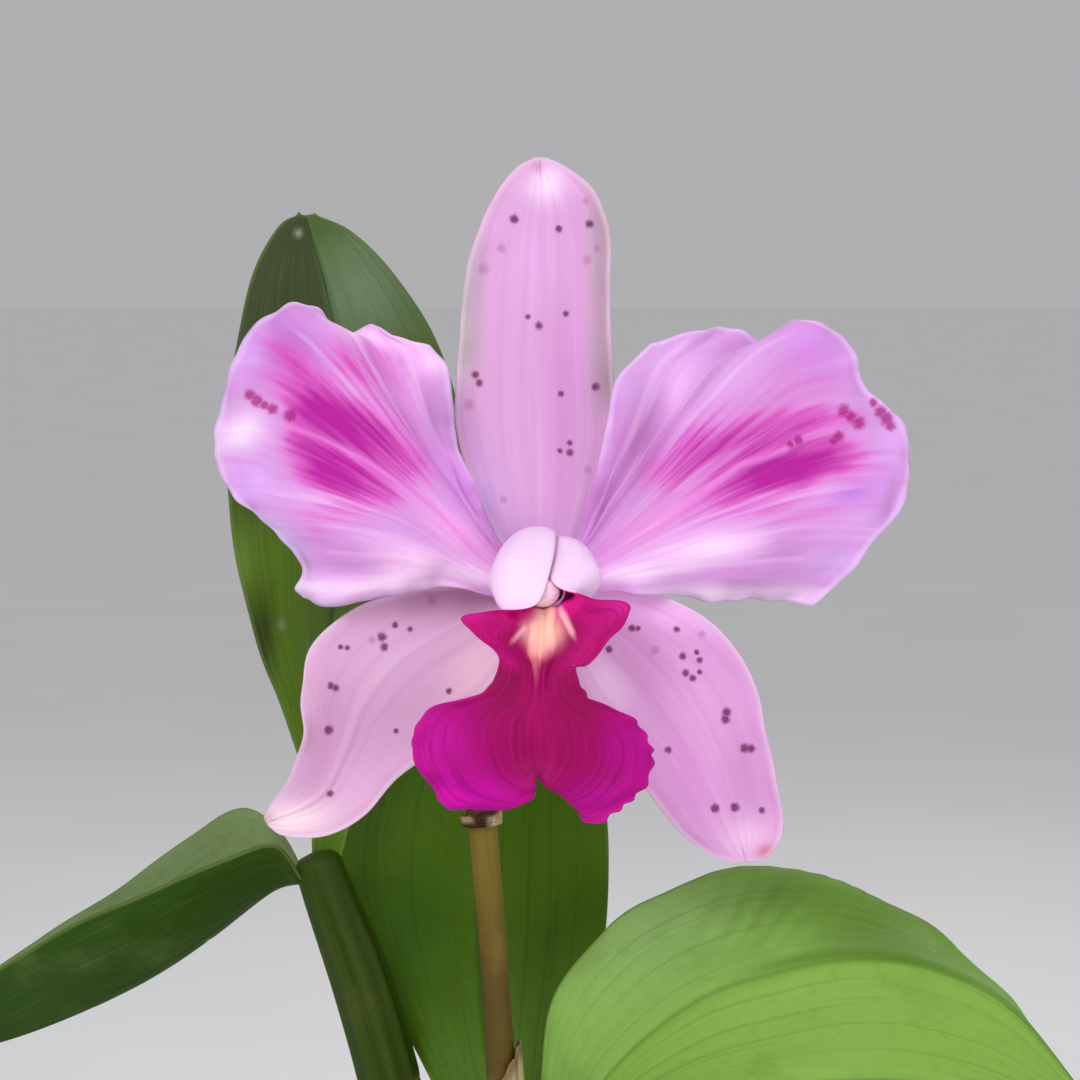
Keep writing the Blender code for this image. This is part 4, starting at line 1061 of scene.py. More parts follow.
def left_petal_tint(x, y):
    return painted(x, y, PETAL_LILAC, [
        (290, 345, 44, 36, 0, tone(0.72, 0.44, 0.78), 0.95),
        (256, 345, 16, 26, 25, tone(0.84, 0.66, 0.94), 0.8),
        (392, 380, 50, 30, 20, tone(0.84, 0.56, 0.83), 0.9),
        # Painted highlight: the palest ovals along the upper margin, which turns up to the light.
        (380, 338, 46, 11, 12, PETAL_HIGHLIGHT, 0.95),
        (434, 360, 19, 17, 0, PETAL_HIGHLIGHT, 1.0),
        # Painted shade: the darker ovals down the inner upper edge to the base, beside the dorsal
        # sepal.
        (437, 418, 20, 38, -10, tone(0.73, 0.52, 0.74), 0.85),
        (460, 482, 22, 44, -30, tone(0.81, 0.55, 0.85), 0.85),
        (496, 546, 13, 34, -30, PETAL_BASE_SHADE, 0.6),
        (462, 536, 52, 15, 40, tone(0.97, 0.68, 0.93), 0.95),
        # The near-white ovals on the lower part are its paler colour, brightened further as painted
        # highlight.
        (418, 562, 52, 18, 6, tone(1.0, 0.83, 0.97), 1.0),
        (392, 584, 78, 12, -5, tone(1.0, 0.87, 0.99), 1.0),
        (476, 574, 26, 9, 24, PETAL_WHITE, 0.9),
        (332, 548, 38, 22, 20, tone(0.84, 0.58, 0.86), 0.9),
        (310, 586, 24, 12, 0, tone(0.96, 0.84, 0.97), 0.95),
        (243, 433, 25, 19, -20, PETAL_WHITE, 1.0),
        (250, 482, 24, 28, 30, tone(0.88, 0.68, 0.97), 0.95),
        (285, 535, 34, 10, 40, tone(0.82, 0.74, 0.95), 0.8),
    ])


def right_petal_tint(x, y):
    return painted(x, y, PETAL_LILAC, [
        (690, 365, 60, 26, 0, tone(0.84, 0.65, 0.87), 0.9),
        (675, 385, 16, 30, 10, tone(0.95, 0.74, 0.95), 0.7),
        (630, 392, 18, 20, 30, tone(0.80, 0.65, 0.87), 0.85),
        # Painted shade: the two dark purple ovals in the hollow near the upper base and along the
        # inner edge.
        (640, 440, 22, 54, 14, tone(0.68, 0.43, 0.68), 0.95),
        (602, 502, 13, 46, 22, tone(0.68, 0.40, 0.70), 0.95),
        (650, 524, 52, 15, -34, tone(0.92, 0.60, 0.86), 0.9),
        # Painted highlight: the pale band along the raised fold. The white band below it is the
        # paler lower part, brightened further as painted highlight.
        (706, 548, 62, 15, -9, tone(1.0, 0.84, 0.98), 1.0),
        (640, 571, 62, 9, -9, PETAL_WHITE, 0.95),
        # Painted light: the near-white band on the turned-back lower margin lightens the shade that
        # falls there.
        (718, 592, 66, 8, 3, PETAL_TURNED_MARGIN_LIGHT, 0.95),
        (790, 592, 34, 9, 0, tone(0.95, 0.84, 0.95), 0.8),
        (786, 548, 24, 26, 40, tone(0.79, 0.56, 0.81), 0.85),
        (835, 560, 26, 22, 0, tone(0.83, 0.67, 0.91), 0.85),
        (816, 350, 34, 24, 20, tone(0.81, 0.55, 0.89), 0.9),
        (855, 492, 26, 13, -10, tone(0.73, 0.46, 0.84), 0.85),
        (884, 458, 18, 30, 10, tone(0.85, 0.65, 0.93), 0.85),
        (880, 512, 22, 22, 30, tone(0.82, 0.62, 0.90), 0.7),
    ])


def lip_surface(sheet):
    """The lip: rolled into a tube at its base, flaring at its side lobes, flat at its front lobe."""
    side = 2 * sheet.across - 1
    last = len(LIP_MIDDLE) - 1
    stations = sheet.along[:, 0] * last
    left = curve_at(LIP_LEFT_MARGIN, stations)[:, None] * MM
    right = curve_at(LIP_RIGHT_MARGIN, stations)[:, None] * MM
    middle = curve_at(LIP_MIDDLE, stations)[:, None] * MM
    roll_left, roll_right = (
        curve_at(roll, stations)[:, None] for roll in (LIP_ROLL_LEFT, LIP_ROLL_RIGHT))
    roll = np.clip(np.where(side > 0, roll_right, roll_left), 0, 1)[..., None]
    reach = np.zeros((*sheet.shape, 3))
    reach[..., 0] = curve_at(LIP_REACH, stations)[:, None] * MM * np.where(side > 0, 1, -1)
    margin = np.where(side[..., None] > 0, right, left)
    chord = (margin - middle) / 3
    near_middle = middle + chord + (reach - chord) * roll
    near_margin = margin - chord + (reach + chord) * roll
    near_margin[..., 2] += curve_at(LIP_CROWN, stations)[:, None] * MM
    part = np.abs(side)[..., None]
    rest = 1 - part
    return (
        middle * rest ** 3 + near_middle * 3 * rest * rest * part
        + near_margin * 3 * rest * part * part + margin * part ** 3)


def lip():
    """The lip with its ruffled, toothed rim, keels in the throat and painted veins."""
    sheet = Sheet("lip_bloom", *LIP_GRID)
    side = 2 * sheet.across - 1
    along = sheet.along
    places = lip_surface(sheet)
    near = margin_distance(places)
    x, y = to_picture(places)
    lobe = smooth(along, 0.50, 0.60)
    rim = 1 - smooth(near, 0, 4.5 * MM)
    teeth = 1 - smooth(near, 0, 1.6 * MM)
    flap = smooth(along, 0.26, 0.34) * (1 - smooth(along, 0.46, 0.52))
    ruffle = ripple(x, y, 44, 4) * 1.1 * rim ** 1.4 * lobe + ripple(x, y, 34, 6) * 0.5 * rim * flap
    swell = ripple(x, y, 95, 9) * 0.5 * (1 - rim) * lobe
    keels = sum(np.exp(-((side - place) / 0.05) ** 2) for place in (-0.14, 0.0, 0.14))
    keels = keels * smooth(along, 0.12, 0.2) * (1 - smooth(along, 0.42, 0.62)) * 0.55
    groove = -0.5 * np.exp(-(side / 0.05) ** 2)
    groove = groove * smooth(along, 0.62, 0.75) * (1 - smooth(along, 0.9, 1.0))
    places = places + facing(places) * ((ruffle + swell + keels + groove) * MM)[..., None]
    midline = LIP_GRID[0] // 2
    inward = places[:, midline:midline + 1] - places
    inward = inward / np.maximum(np.linalg.norm(inward, axis=2, keepdims=True), 1e-9)
    notches = (np.sin(along * 190 + 1.3 * np.sin(along * 47)) * 0.5 + 0.5) * LIP_NOTCH
    notches = notches * np.where(side > 0, 1, 0.3)
    notches = notches * teeth ** 2 * smooth(along, 0.51, 0.57) * (side != 0)
    places = places + inward * notches[..., None]
    sheet.lay(moved(places, FLOWER))
    colour = painted(x, y, LIP_CRIMSON, [
        (500, 680, 18, 26, 30, LIP_DARK, 0.7),
        (582, 700, 18, 34, -30, LIP_DARK, 0.55),
        (434, 742, 46, 52, 0, LIP_VIOLET, 1.0),
        (474, 794, 58, 24, 8, tone(0.80, 0.04, 0.66), 0.95),
        (634, 752, 34, 48, 0, tone(0.71, 0.03, 0.56), 0.9),
        (600, 802, 42, 24, 0, tone(0.73, 0.05, 0.58), 0.95),
        (540, 700, 11, 46, 0, tone(0.68, 0.03, 0.41), 0.35),
        (538, 772, 22, 14, 0, tone(0.70, 0.12, 0.42), 0.6),
    ])
    colour = layer(colour, flap * smooth(np.abs(side), 0.3, 0.6), LIP_FLARE)
    # Painted light: the bright magenta round the base of the tube lightens the shade under the hood.
    colour = layer(colour, 1 - smooth(along, 0.27, 0.33), tone(0.95, 0.12, 0.62))
    colour = painted(x, y, colour, [
        (472, 614, 14, 10, 0, tone(0.80, 0.08, 0.56), 0.7),
        (620, 608, 18, 10, 0, tone(0.82, 0.12, 0.58), 0.8),
    ])
    sheet.paint("tint", colour)
    sheet.note("margin", (1 - smooth(near, 0.1 * MM, 1.5 * MM)) * lobe)
    throat = np.maximum(
        stroke(x, y, [(545, 612, 12, 1.0), (543, 632, 22, 1.0), (538, 650, 12, 0.9)], 1.5),
        stroke(x, y, [(538, 648, 9, 0.8), (536, 668, 6, 0.5), (537, 700, 4, 0.2)], 2.0))
    lines = np.maximum(
        stroke(x, y, THROAT_LINE_RIGHT, 1.3),
        stroke(x, y, THROAT_LINE_LEFT, 1.3))
    deep = (1 - smooth(along, 0.16, 0.24)) * (1 - smooth(np.abs(side), 0.25, 0.4))
    sheet.note("throat", np.maximum(np.maximum(throat, lines), deep * 0.8))
    glow = plain(sheet.shape, THROAT_PINK)
    core = stroke(x, y, [(545, 612, 11, 1.0), (543, 632, 19, 1.0), (539, 646, 9, 0.8)], 1.4)
    glow = layer(glow, core, THROAT_ORANGE)
    glow = layer(glow, lines, LIP_CREAM)
    sheet.paint("throat_tint", glow)
    hood = plain(sheet.shape, LIP_HOOD)
    hood = layer(hood, smooth(along, 0.36, 0.46), tone(0.82, 0.30, 0.66))
    hood = layer(hood, (1 - smooth(near, 0, 3 * MM)) * smooth(along, 0.36, 0.44), LIP_VIOLET)
    sheet.paint("hood_tint", hood)
    dress(sheet.piece, lip_outside_finish(), lip_inside_finish())
    grown(sheet.thicken(LIP_THICKNESS, teeth, second_side=1), "lip_skin", "lip")


def limb(name, path, radii, sides, rings, swell, round_ends=0.02, reference=(0, 1, 0), matrix=None):
    """A round limb along a path in mm, with rounded ends, its girth swelled by angle and length."""
    sheet = Sheet(name, sides, rings)
    fractions = sheet.along[:, 0]
    centre = along_curve(np.asarray(path, float) * MM, fractions)
    over, up = square_to(np.gradient(centre, axis=0), reference)
    angle = sheet.across * TAU
    girth = curve_at(radii, fractions * (len(radii) - 1))[:, None] * MM * np.ones(sheet.shape)
    girth = girth * swell(angle, sheet.along)
    from_end = np.minimum(sheet.along, 1 - sheet.along)
    girth = girth * np.sqrt(1 - (1 - np.clip(from_end / round_ends, 0, 1)) ** 2)
    places = (
        centre[:, None] + over[:, None] * (np.cos(angle) * girth)[..., None]
        + up[:, None] * (np.sin(angle) * girth)[..., None])
    if matrix is not None:
        places = moved(places, matrix)
    sheet.lay(places)
    return sheet


def pseudobulb(name, node, path, radii, ridges, joints, seed):
    """A cane-like bulb with rounded lengthwise ridges and ringed joints."""
    draw = random.Random(seed)
    phase = draw.uniform(0, TAU)

    def ridge(angle, along):
        wave = np.cos(angle * ridges + phase + 0.5 * np.sin(along * 5))
        return wave * smooth(along, 0.05, 0.25) * (1 - smooth(along, 0.88, 1.0))

    def ring(along):
        return sum(np.exp(-((along - joint) / 0.006) ** 2) for joint in joints)

    def swell(angle, along):
        uneven = 0.01 * np.sin(angle * 3 + along * 9)
        return 1 + 0.035 * ridge(angle, along) - 0.04 * ring(along) + uneven

    sheet = limb(name, path, radii, 72, 150, swell)
    angle = sheet.across * TAU
    sheet.note("ridge", ridge(angle, sheet.along) * 0.5 + 0.5)
    sheet.note("ring", ring(sheet.along) * np.ones(sheet.shape))
    piece = sheet.close()
    dress(piece, bulb_skin)
    grown(piece, "bulb_skin", node)


def stem(name, node, path, radii, tint, swell):
    """A stalk of the flower, its girth swelled by angle and length, its colour by the same two."""
    sheet = limb(name, path, radii, 40, 90, swell, round_ends=0.012)
    sheet.paint("tint", tint(sheet.across, sheet.along))
    piece = sheet.close()
    dress(piece, stem_skin)
    grown(piece, "stem_skin", node)


def stem_tint(across, along):
    colour = plain(np.broadcast(across, along).shape, tone(0.47, 0.40, 0.12))
    colour = layer(colour, (1 - smooth(along, 0.55, 0.9)), tone(0.34, 0.27, 0.07))
    return layer(colour, smooth(along, 0.955, 0.985), tone(0.30, 0.16, 0.11))


def ovary_tint(across, along):
    colour = plain(np.broadcast(across, along).shape, tone(0.56, 0.46, 0.30))
    colour = layer(colour, smooth(along, 0.3, 0.9), tone(0.72, 0.60, 0.58))
    return layer(colour, (1 - smooth(along, 0.02, 0.08)), tone(0.28, 0.15, 0.10))


def papery_sleeve(
        name, node, path, radii, reach, lean, seed, clear, torn=0.25, rings=70, withered=False):
    """A dry bract wrapped round a stem, ribbed, puckered and torn along its slanting top.

    reach says where it starts and ends, in fractions of the path. A withered one is dark
    but for two pale strips.
    """
    start, end = reach
    sheet = Sheet(name, 64, rings)
    angle = sheet.across * TAU
    ragged = ripple(np.cos(angle) * 3 + 5, np.sin(angle) * 3, 2.2, seed) * 0.16
    ragged = ragged + ripple(np.cos(angle) * 3, np.sin(angle) * 3 + 2, 0.7, seed + 1) * 0.07
    top = end - lean * (1 + np.cos(angle)) / 2 - lean * torn * (ragged + 0.25)
    flat = (start + (top - start) * sheet.along).ravel()
    path = np.asarray(path, float) * MM
    centre = along_curve(path, flat).reshape(*sheet.shape, 3)
    before, after = (along_curve(path, np.clip(flat + step, 0, 1)) for step in (-0.02, 0.02))
    over, up = square_to((after - before).reshape(*sheet.shape, 3))
    radius = curve_at(radii, flat * (len(radii) - 1)).reshape(sheet.shape) * MM + clear
    ribs = np.cos(angle * 19) * 0.05 + np.cos(angle * 5 + sheet.along * 3) * 0.12
    pucker = ripple(angle * 4, sheet.along * 22, 4.5, seed + 2) * 0.13
    flare = smooth(sheet.along, 0.72, 1.0) * (0.45 + 0.5 * np.cos(angle * 2 + seed))
    radius = radius + (ribs + pucker + flare * 0.8) * MM
    sheet.lay(
        centre + over * (np.cos(angle) * radius)[..., None]
        + up * (np.sin(angle) * radius)[..., None])
    sheet.note("torn", smooth(sheet.along, 0.80, 1.0) * np.ones(sheet.shape))
    if withered:
        left = smooth(np.cos(angle + 0.35), 0.55, 0.98) * smooth(sheet.along, 0.10, 0.70)
        right = smooth(np.cos(angle - 3.75), 0.65, 0.98) * (1 - smooth(sheet.along, 0.40, 0.90))
        sheet.note("dark", 1 - np.maximum(left, right))
    sheet.close()
    piece = sheet.thicken(BRACT_THICKNESS)
    dress(piece, bract_skin)
    grown(piece, "dry_bract", node)


def slanting_ripples(x, y):
    """Soft ripples, slantwise over the right leaf's far half, by the photograph's x and y."""
    strip = np.sin((x * 0.80 + y * 0.60) * TAU / 21 + 1.5 * ripple(x, y, 90, 2))
    return 0.35 * strip * np.exp(-((x - 770) / 80) ** 2 - ((y - 912) / 34) ** 2)


def leaf(name, node, margins, grid, keel, tint, finish, slot="leaf_skin", belly=0.0, extra=None):
    """A thick strap leaf with a channelled midrib, lengthwise ribs and a slightly waved margin."""
    sheet = Sheet(name, *grid)
    places = blade(sheet, [np.asarray(line, float) * MM for line in margins], keel)
    side = 2 * sheet.across - 1
    near = margin_distance(places)
    x, y = to_picture(moved(places, FLOWER.inverted()))
    open_part = smooth(sheet.along, 0.06, 0.3)
    swell = np.sin(math.pi * np.abs(side)) * np.sin(math.pi * sheet.along)
    groove = np.exp(-(side / 0.035) ** 2)
    ribs = np.cos(side * LEAF_RIBS * math.pi) * 0.035
    wave = ripple(x, y, 110, 13) * 0.5 * (1 - smooth(near, 0, 7 * MM)) + ripple(x, y, 210, 17) * 0.35
    lift = ribs + wave * open_part - 0.55 * groove * open_part
    if extra:
        lift = lift + extra(x, y)
    places = places + facing(places) * (lift * MM + belly * swell)[..., None]
    sheet.lay(places)
    sheet.paint("tint", tint(x, y, side))
    sheet.note("rib", groove * open_part)
    sheet.note("margin", 1 - smooth(near, 0.1 * MM, 0.9 * MM))
    piece = sheet.thicken(LEAF_THICKNESS, 1 - smooth(near, 0, 2.0 * MM), thin=0.45)
    dress(piece, finish)
    grown(piece, slot, node)


def tall_leaf_tint(x, y, side):
    colour = plain(x.shape, tone(0.29, 0.38, 0.12))
    colour = layer(colour, smooth(y, 480, 560), tone(0.34, 0.47, 0.10))
    colour = patch(colour, x, y, 365, 290, 56, 62, -20, tone(0.42, 0.52, 0.38), 0.95)
    shaded = smooth(-side, 0.0, 0.10) * (1 - smooth(y, 400, 560))
    colour = layer(colour, shaded, tone(0.23, 0.28, 0.15))
    colour = patch(colour, x, y, 325, 625, 26, 90, 0, tone(0.31, 0.42, 0.15), 0.9)
    # Painted shadow: the dark strip along the lower left edge.
    colour = layer(colour, (1 - smooth(x, 262, 284)) * smooth(y, 560, 640), tone(0.20, 0.25, 0.07))
    return painted(x, y, colour, [
        (298, 233, 4, 4, 0, tone(0.66, 0.70, 0.64), 0.9),
        (281, 625, 4, 5, 0, tone(0.50, 0.56, 0.38), 0.9),
    ])


def arching_leaf_tint(x, y, side):
    # Lit and shaded copies of the green: the pale ground is painted light on the far half, and the
    # dark green over the near half, past the keel, is painted shade.
    colour = plain(x.shape, tone(0.44, 0.53, 0.33))
    colour = layer(colour, smooth(side, -0.02, 0.04), tone(0.15, 0.28, 0.0))
    return patch(colour, x, y, 292, 842, 16, 16, 0, tone(0.30, 0.26, 0.10), 0.6)


def middle_leaf_tint(x, y, side):
    return painted(x, y, tone(0.28, 0.43, 0.0), [
        (560, 900, 40, 90, 0, tone(0.29, 0.43, 0.0), 0.8),
        (410, 930, 40, 60, 0, tone(0.17, 0.34, 0.0), 0.7),
    ])


def right_leaf_tint(x, y, side):
    colour = painted(x, y, tone(0.51, 0.68, 0.32), [
        # Painted light: the paler oval on the left part. Painted shade: the dark oval on the right
        # part.
        (650, 925, 80, 44, -30, tone(0.57, 0.73, 0.42), 0.9),
        (880, 925, 110, 60, 24, tone(0.30, 0.45, 0.0), 0.95),
    ])
    # Painted shade: the dark line along the midrib crease.
    midrib = np.exp(-((side + 0.07) / 0.06) ** 2) * smooth(x, 700, 800)
    colour = layer(colour, midrib * 0.6, tone(0.28, 0.42, 0.04))
    colour = layer(colour, smooth(side, 0.0, 0.06), tone(0.49, 0.65, 0.27))
    return patch(colour, x, y, 585, 960, 16, 30, 30, tone(0.38, 0.50, 0.16), 0.35)


def creeping_stem():
    """The rhizome, ringed with scars and growth scales, joined with its silvery roots."""
    def rings(angle, along):
        scars = np.abs(np.sin(along * 34 + 0.4 * np.sin(angle)))
        return 1 + 0.10 * (scars ** 0.5 - 0.6) + 0.05 * np.sin(angle * 3 + along * 11)

    sheet = limb("rhizome_grown", RHIZOME_PATH, RHIZOME_RADII, 40, 110, rings, 0.05, (0, 0, 1))
    stem_piece = sheet.close()
    dress(stem_piece, rhizome_finish())
    roots = []
    silver = root_finish()
    for number, path in enumerate(ROOT_PATHS):
        def wobble(angle, along, turn=number):
            slow, quick = np.sin(along * 23 + angle + turn), np.sin(along * 51 + turn * 2)
            return 1 + 0.08 * slow + 0.06 * quick

        made = limb(f"root_{number + 1}", path, [ROOT_RADIUS] * 2, 20, 60, wobble, 0.03, (0, 0, 1))
        root = made.close()
        dress(root, silver)
        roots.append(root)
    select_only(stem_piece)
    for root in roots:
        root.select_set(True)
    bpy.ops.object.join()
    grown(stem_piece, "rhizome_skin", "rhizome")


def bark_chunk(name, seed):
    """One broken chunk: a box cut into facets, pulled about and with its corners knocked off."""
    bpy.ops.object.select_all(action="DESELECT")
    bpy.ops.mesh.primitive_cube_add(size=1)
    chunk = bpy.context.object
    chunk.name = name
    bpy.ops.object.mode_set(mode="EDIT")
    bpy.ops.mesh.select_all(action="SELECT")
    bpy.ops.mesh.bevel(offset=0.14, segments=1, affect="EDGES")
    bpy.ops.mesh.subdivide(number_cuts=1)
    bpy.ops.object.mode_set(mode="OBJECT")
    for vertex in chunk.data.vertices:
        shift = noise.noise_vector(vertex.co * 2.3 + Vector((seed * 7.1, 0, 0)))
        vertex.co += shift * 0.16
    bpy.ops.object.shade_smooth_by_angle(angle=math.radians(32))
    return chunk


def potting_bark():
    """The potting mix: a crumbly bed with chunks of bark lying over it, as the solid has them."""
    inner_low = POT_BASE_RADIUS - POT_WALL - GAP
    slope = (POT_TOP_RADIUS - RIM_PROUD - POT_BASE_RADIUS) / (POT_HEIGHT - 2 * MM - POT_WALL)
    inner_top = inner_low + slope * (BARK_LEVEL - POT_WALL)
    bpy.ops.object.select_all(action="DESELECT")
    bpy.ops.mesh.primitive_cylinder_add(
        vertices=96, radius=1, depth=BARK_LEVEL - POT_WALL - GAP, end_fill_type="TRIFAN",
        location=(0, 0, (BARK_LEVEL + POT_WALL + GAP) / 2))
    bed = bpy.context.object
    bed.name = "potting_bark_bed"
    bpy.ops.object.transform_apply(location=True, rotation=False, scale=False)
    bpy.ops.object.mode_set(mode="EDIT")
    bpy.ops.mesh.select_all(action="SELECT")
    bpy.ops.mesh.subdivide(number_cuts=7)
    bpy.ops.object.mode_set(mode="OBJECT")
    for vertex in bed.data.vertices:
        place = vertex.co
        reach = inner_low + slope * (place.z - POT_WALL)
        place.x *= reach
        place.y *= reach
        if place.z > BARK_LEVEL - 0.1 * MM:
            bumps = noise.noise(place * 160) * 1.8 + noise.noise(place * 420) * 0.9
            place.z += (bumps - 1.2) * MM
    bpy.ops.object.shade_smooth_by_angle(angle=math.radians(40))
    dress(bed, bark_skin)
    # Blender starts noise_vector from the clock, so it is set here, for the same chunks in every run
    noise.seed_set(CHUNK_SEED)
    kinds = [bark_chunk(f"chunk_kind_{number}", number) for number in range(CHUNK_KINDS)]
    draw = random.Random(7)
    scattered = random.Random(19)
    chunks = []

    def lay_chunk(size, reach, angle, height, turns):
        kind = kinds[len(chunks) % len(kinds)]
        chunk = bpy.data.objects.new(f"chunk_{len(chunks)}", kind.data.copy())
        bpy.context.collection.objects.link(chunk)
        turn = (
            Matrix.Translation((reach * math.cos(angle), reach * math.sin(angle), height))
            @ Matrix.Rotation(turns[0], 4, "Z") @ Matrix.Rotation(turns[1], 4, "X")
            @ Matrix.Rotation(turns[2], 4, "Y") @ Matrix.Diagonal((*size, 1)))
        chunk.data.transform(turn)
        shade = chunk.data.attributes.new("own", "FLOAT", "POINT")
        shade.data.foreach_set("value", [scattered.random()] * len(chunk.data.vertices))
        chunk.data.materials.append(bark_skin)
        chunks.append(chunk)

    for i in range(LARGE_CHUNKS):
        reach = math.sqrt((i + 0.5) / LARGE_CHUNKS) * (inner_top - 9 * MM)
        angle = i * CHUNK_TURN + draw.uniform(-0.2, 0.2)
        size = Vector((draw.uniform(9, 15), draw.uniform(6, 10), draw.uniform(4, 6))) * MM
        # The solid draws a pull for each corner here; the same draws keep the turns as it has them
        for _ in range(CHUNK_CORNERS * 3):
            draw.uniform(0.78, 1.1)
        turns = (draw.uniform(0, TAU), draw.uniform(-0.3, 0.3), draw.uniform(-0.3, 0.3))
        lay_chunk(size, reach, angle, BARK_LEVEL + 0.4 * MM, turns)
    for i in range(SMALL_CHUNKS):
        size = [scattered.uniform(*limits) for limits in ((4, 10), (3, 6), (2.2, 4))]
        size = Vector(size) * MM
        reach = math.sqrt((i + 0.5) / SMALL_CHUNKS) * (inner_top - 4.5 * MM)
        angle = i * CHUNK_TURN + 1.1
        height = BARK_LEVEL + scattered.uniform(-1.2, 1.6) * MM
        turns = [scattered.uniform(*limits) for limits in ((0, TAU), (-0.5, 0.5), (-0.5, 0.5))]
        lay_chunk(size, reach, angle, height, turns)
    for kind in kinds:
        bpy.data.objects.remove(kind)
    select_only(bed)
    for chunk in chunks:
        chunk.select_set(True)
    bpy.ops.object.join()
    grown(bed, "bark", "potting_bark")


def clay_pot():
    """The pot, its profile spun round the axis, with a rolled rim, a foot edge and drain holes."""
    rim_low = POT_HEIGHT - RIM_BAND
    slope = (POT_TOP_RADIUS - RIM_PROUD - POT_BASE_RADIUS) / POT_HEIGHT
    body_top = POT_BASE_RADIUS + slope * rim_low
    inner_top = POT_TOP_RADIUS - RIM_PROUD - POT_WALL
    profile = [
        (0.0, POT_WALL), (POT_BASE_RADIUS - POT_WALL - 6 * MM, POT_WALL),
        (POT_BASE_RADIUS - POT_WALL - 1 * MM, POT_WALL + 0.8 * MM),
        (POT_BASE_RADIUS - POT_WALL + 0.6 * MM, 9 * MM),
        (inner_top, POT_HEIGHT - 2.4 * MM), (inner_top + 0.9 * MM, POT_HEIGHT - 0.8 * MM),
        (inner_top + 2.4 * MM, POT_HEIGHT), (POT_TOP_RADIUS - 2.4 * MM, POT_HEIGHT),
        (POT_TOP_RADIUS - 0.8 * MM, POT_HEIGHT - 0.8 * MM), (POT_TOP_RADIUS, POT_HEIGHT - 2.6 * MM),
        (POT_TOP_RADIUS - 0.9 * MM, rim_low + 2.6 * MM),
        (POT_TOP_RADIUS - 1.3 * MM, rim_low + 0.9 * MM),
        (POT_TOP_RADIUS - 2.6 * MM, rim_low), (body_top + 0.4 * MM, rim_low - 0.4 * MM),
        (body_top, rim_low - 1.6 * MM), (POT_BASE_RADIUS + 0.8 * MM, 2.2 * MM),
        (POT_BASE_RADIUS + 0.2 * MM, 0.8 * MM), (POT_BASE_RADIUS - 0.8 * MM, 0.0), (0.0, 0.0),
    ]
    mesh = bpy.data.meshes.new("pot_thrown")
    corners = [(radius, 0, height) for radius, height in profile]
    mesh.from_pydata(corners, [(i, i + 1) for i in range(len(corners) - 1)], [])
    pot = bpy.data.objects.new("pot_thrown", mesh)
    bpy.context.collection.objects.link(pot)
    select_only(pot)
    bpy.ops.object.mode_set(mode="EDIT")
    bpy.ops.mesh.select_all(action="SELECT")
    bpy.ops.mesh.spin(steps=128, angle=TAU, center=(0, 0, 0), axis=(0, 0, 1))
    bpy.ops.mesh.select_all(action="SELECT")
    bpy.ops.mesh.remove_doubles(threshold=0.00001)
    bpy.ops.mesh.normals_make_consistent(inside=False)
    bpy.ops.object.mode_set(mode="OBJECT")
    for i in range(DRAINS):
        angle = TAU * (i + 0.25) / DRAINS
        bpy.ops.object.select_all(action="DESELECT")
        bpy.ops.mesh.primitive_cylinder_add(
            vertices=40, radius=DRAIN_RADIUS, depth=POT_WALL * 3,
            location=(DRAIN_CIRCLE * math.cos(angle), DRAIN_CIRCLE * math.sin(angle), POT_WALL / 2))
        drill = bpy.context.object
        hole = pot.modifiers.new("drain", "BOOLEAN")
        hole.operation = "DIFFERENCE"
        hole.solver = "EXACT"
        hole.object = drill
        select_only(pot)
        bpy.ops.object.modifier_apply(modifier=hole.name)
        bpy.data.objects.remove(drill)
    select_only(pot)
    bpy.ops.object.shade_smooth_by_angle(angle=math.radians(35))
    dress(pot, clay_finish())
    grown(pot, "clay", "pot")


def studio():
    """A pale floor, soft studio light and the camera at the photograph's viewing angle."""
    bpy.ops.object.select_all(action="DESELECT")
    bpy.ops.mesh.primitive_circle_add(
        vertices=96, radius=FLOOR_RADIUS, fill_type="NGON", location=(0, 0, 0))
    floor = bpy.context.object
    floor.name = "floor"
    paper = Finish("floor_paper", 0.9, shine=0.1)
    tooth = paper.noise(paper.where(), 6, 3)
    paper.ground(tone(0.90, 0.90, 0.90))
    paper.tinge(tooth, 0.3, 0.7, 1.0, tone(0.89, 0.89, 0.895))
    paper.show()
    dress(floor, paper.material)

    world = bpy.data.worlds.new("studio")
    bpy.context.scene.world = world
    world.use_nodes = True
    backdrop = world.node_tree.nodes["Background"]
    backdrop.inputs["Color"].default_value = (*tone(0.84, 0.84, 0.85), 1)
    backdrop.inputs["Strength"].default_value = SKY_STRENGTH

    sky = bpy.data.lights.new("daylight", "SUN")
    sky.energy = DAYLIGHT_STRENGTH
    sky.angle = math.radians(50)
    daylight = bpy.data.objects.new("daylight", sky)
    bpy.context.collection.objects.link(daylight)
    daylight.rotation_euler = (math.radians(38), math.radians(-14), 0)

    target = FLOWER @ Vector((0, 0, RISE))
    for name, place, size, power in LAMPS:
        light = bpy.data.lights.new(name, "AREA")
        light.shape = "DISK"
        light.size = size
        light.energy = power
        lamp = bpy.data.objects.new(name, light)
        bpy.context.collection.objects.link(lamp)
        lamp.location = target + Vector(place)
        lamp.rotation_euler = (-Vector(place)).to_track_quat("-Z", "Y").to_euler()

    lens = bpy.data.cameras.new("camera")
    half_frame = PICTURE_PX / 2 * PIXEL
    lens.angle = 2 * math.atan(half_frame / VIEW_DISTANCE)
    lens.clip_start = 0.01
    camera = bpy.data.objects.new("camera", lens)
    bpy.context.collection.objects.link(camera)
    camera.location = FLOWER @ Vector((0, -VIEW_DISTANCE, RISE))
    camera.rotation_euler = (target - camera.location).to_track_quat("-Z", "Y").to_euler()
    bpy.context.scene.camera = camera
    bpy.context.scene.view_settings.view_transform = "Standard"


studio()

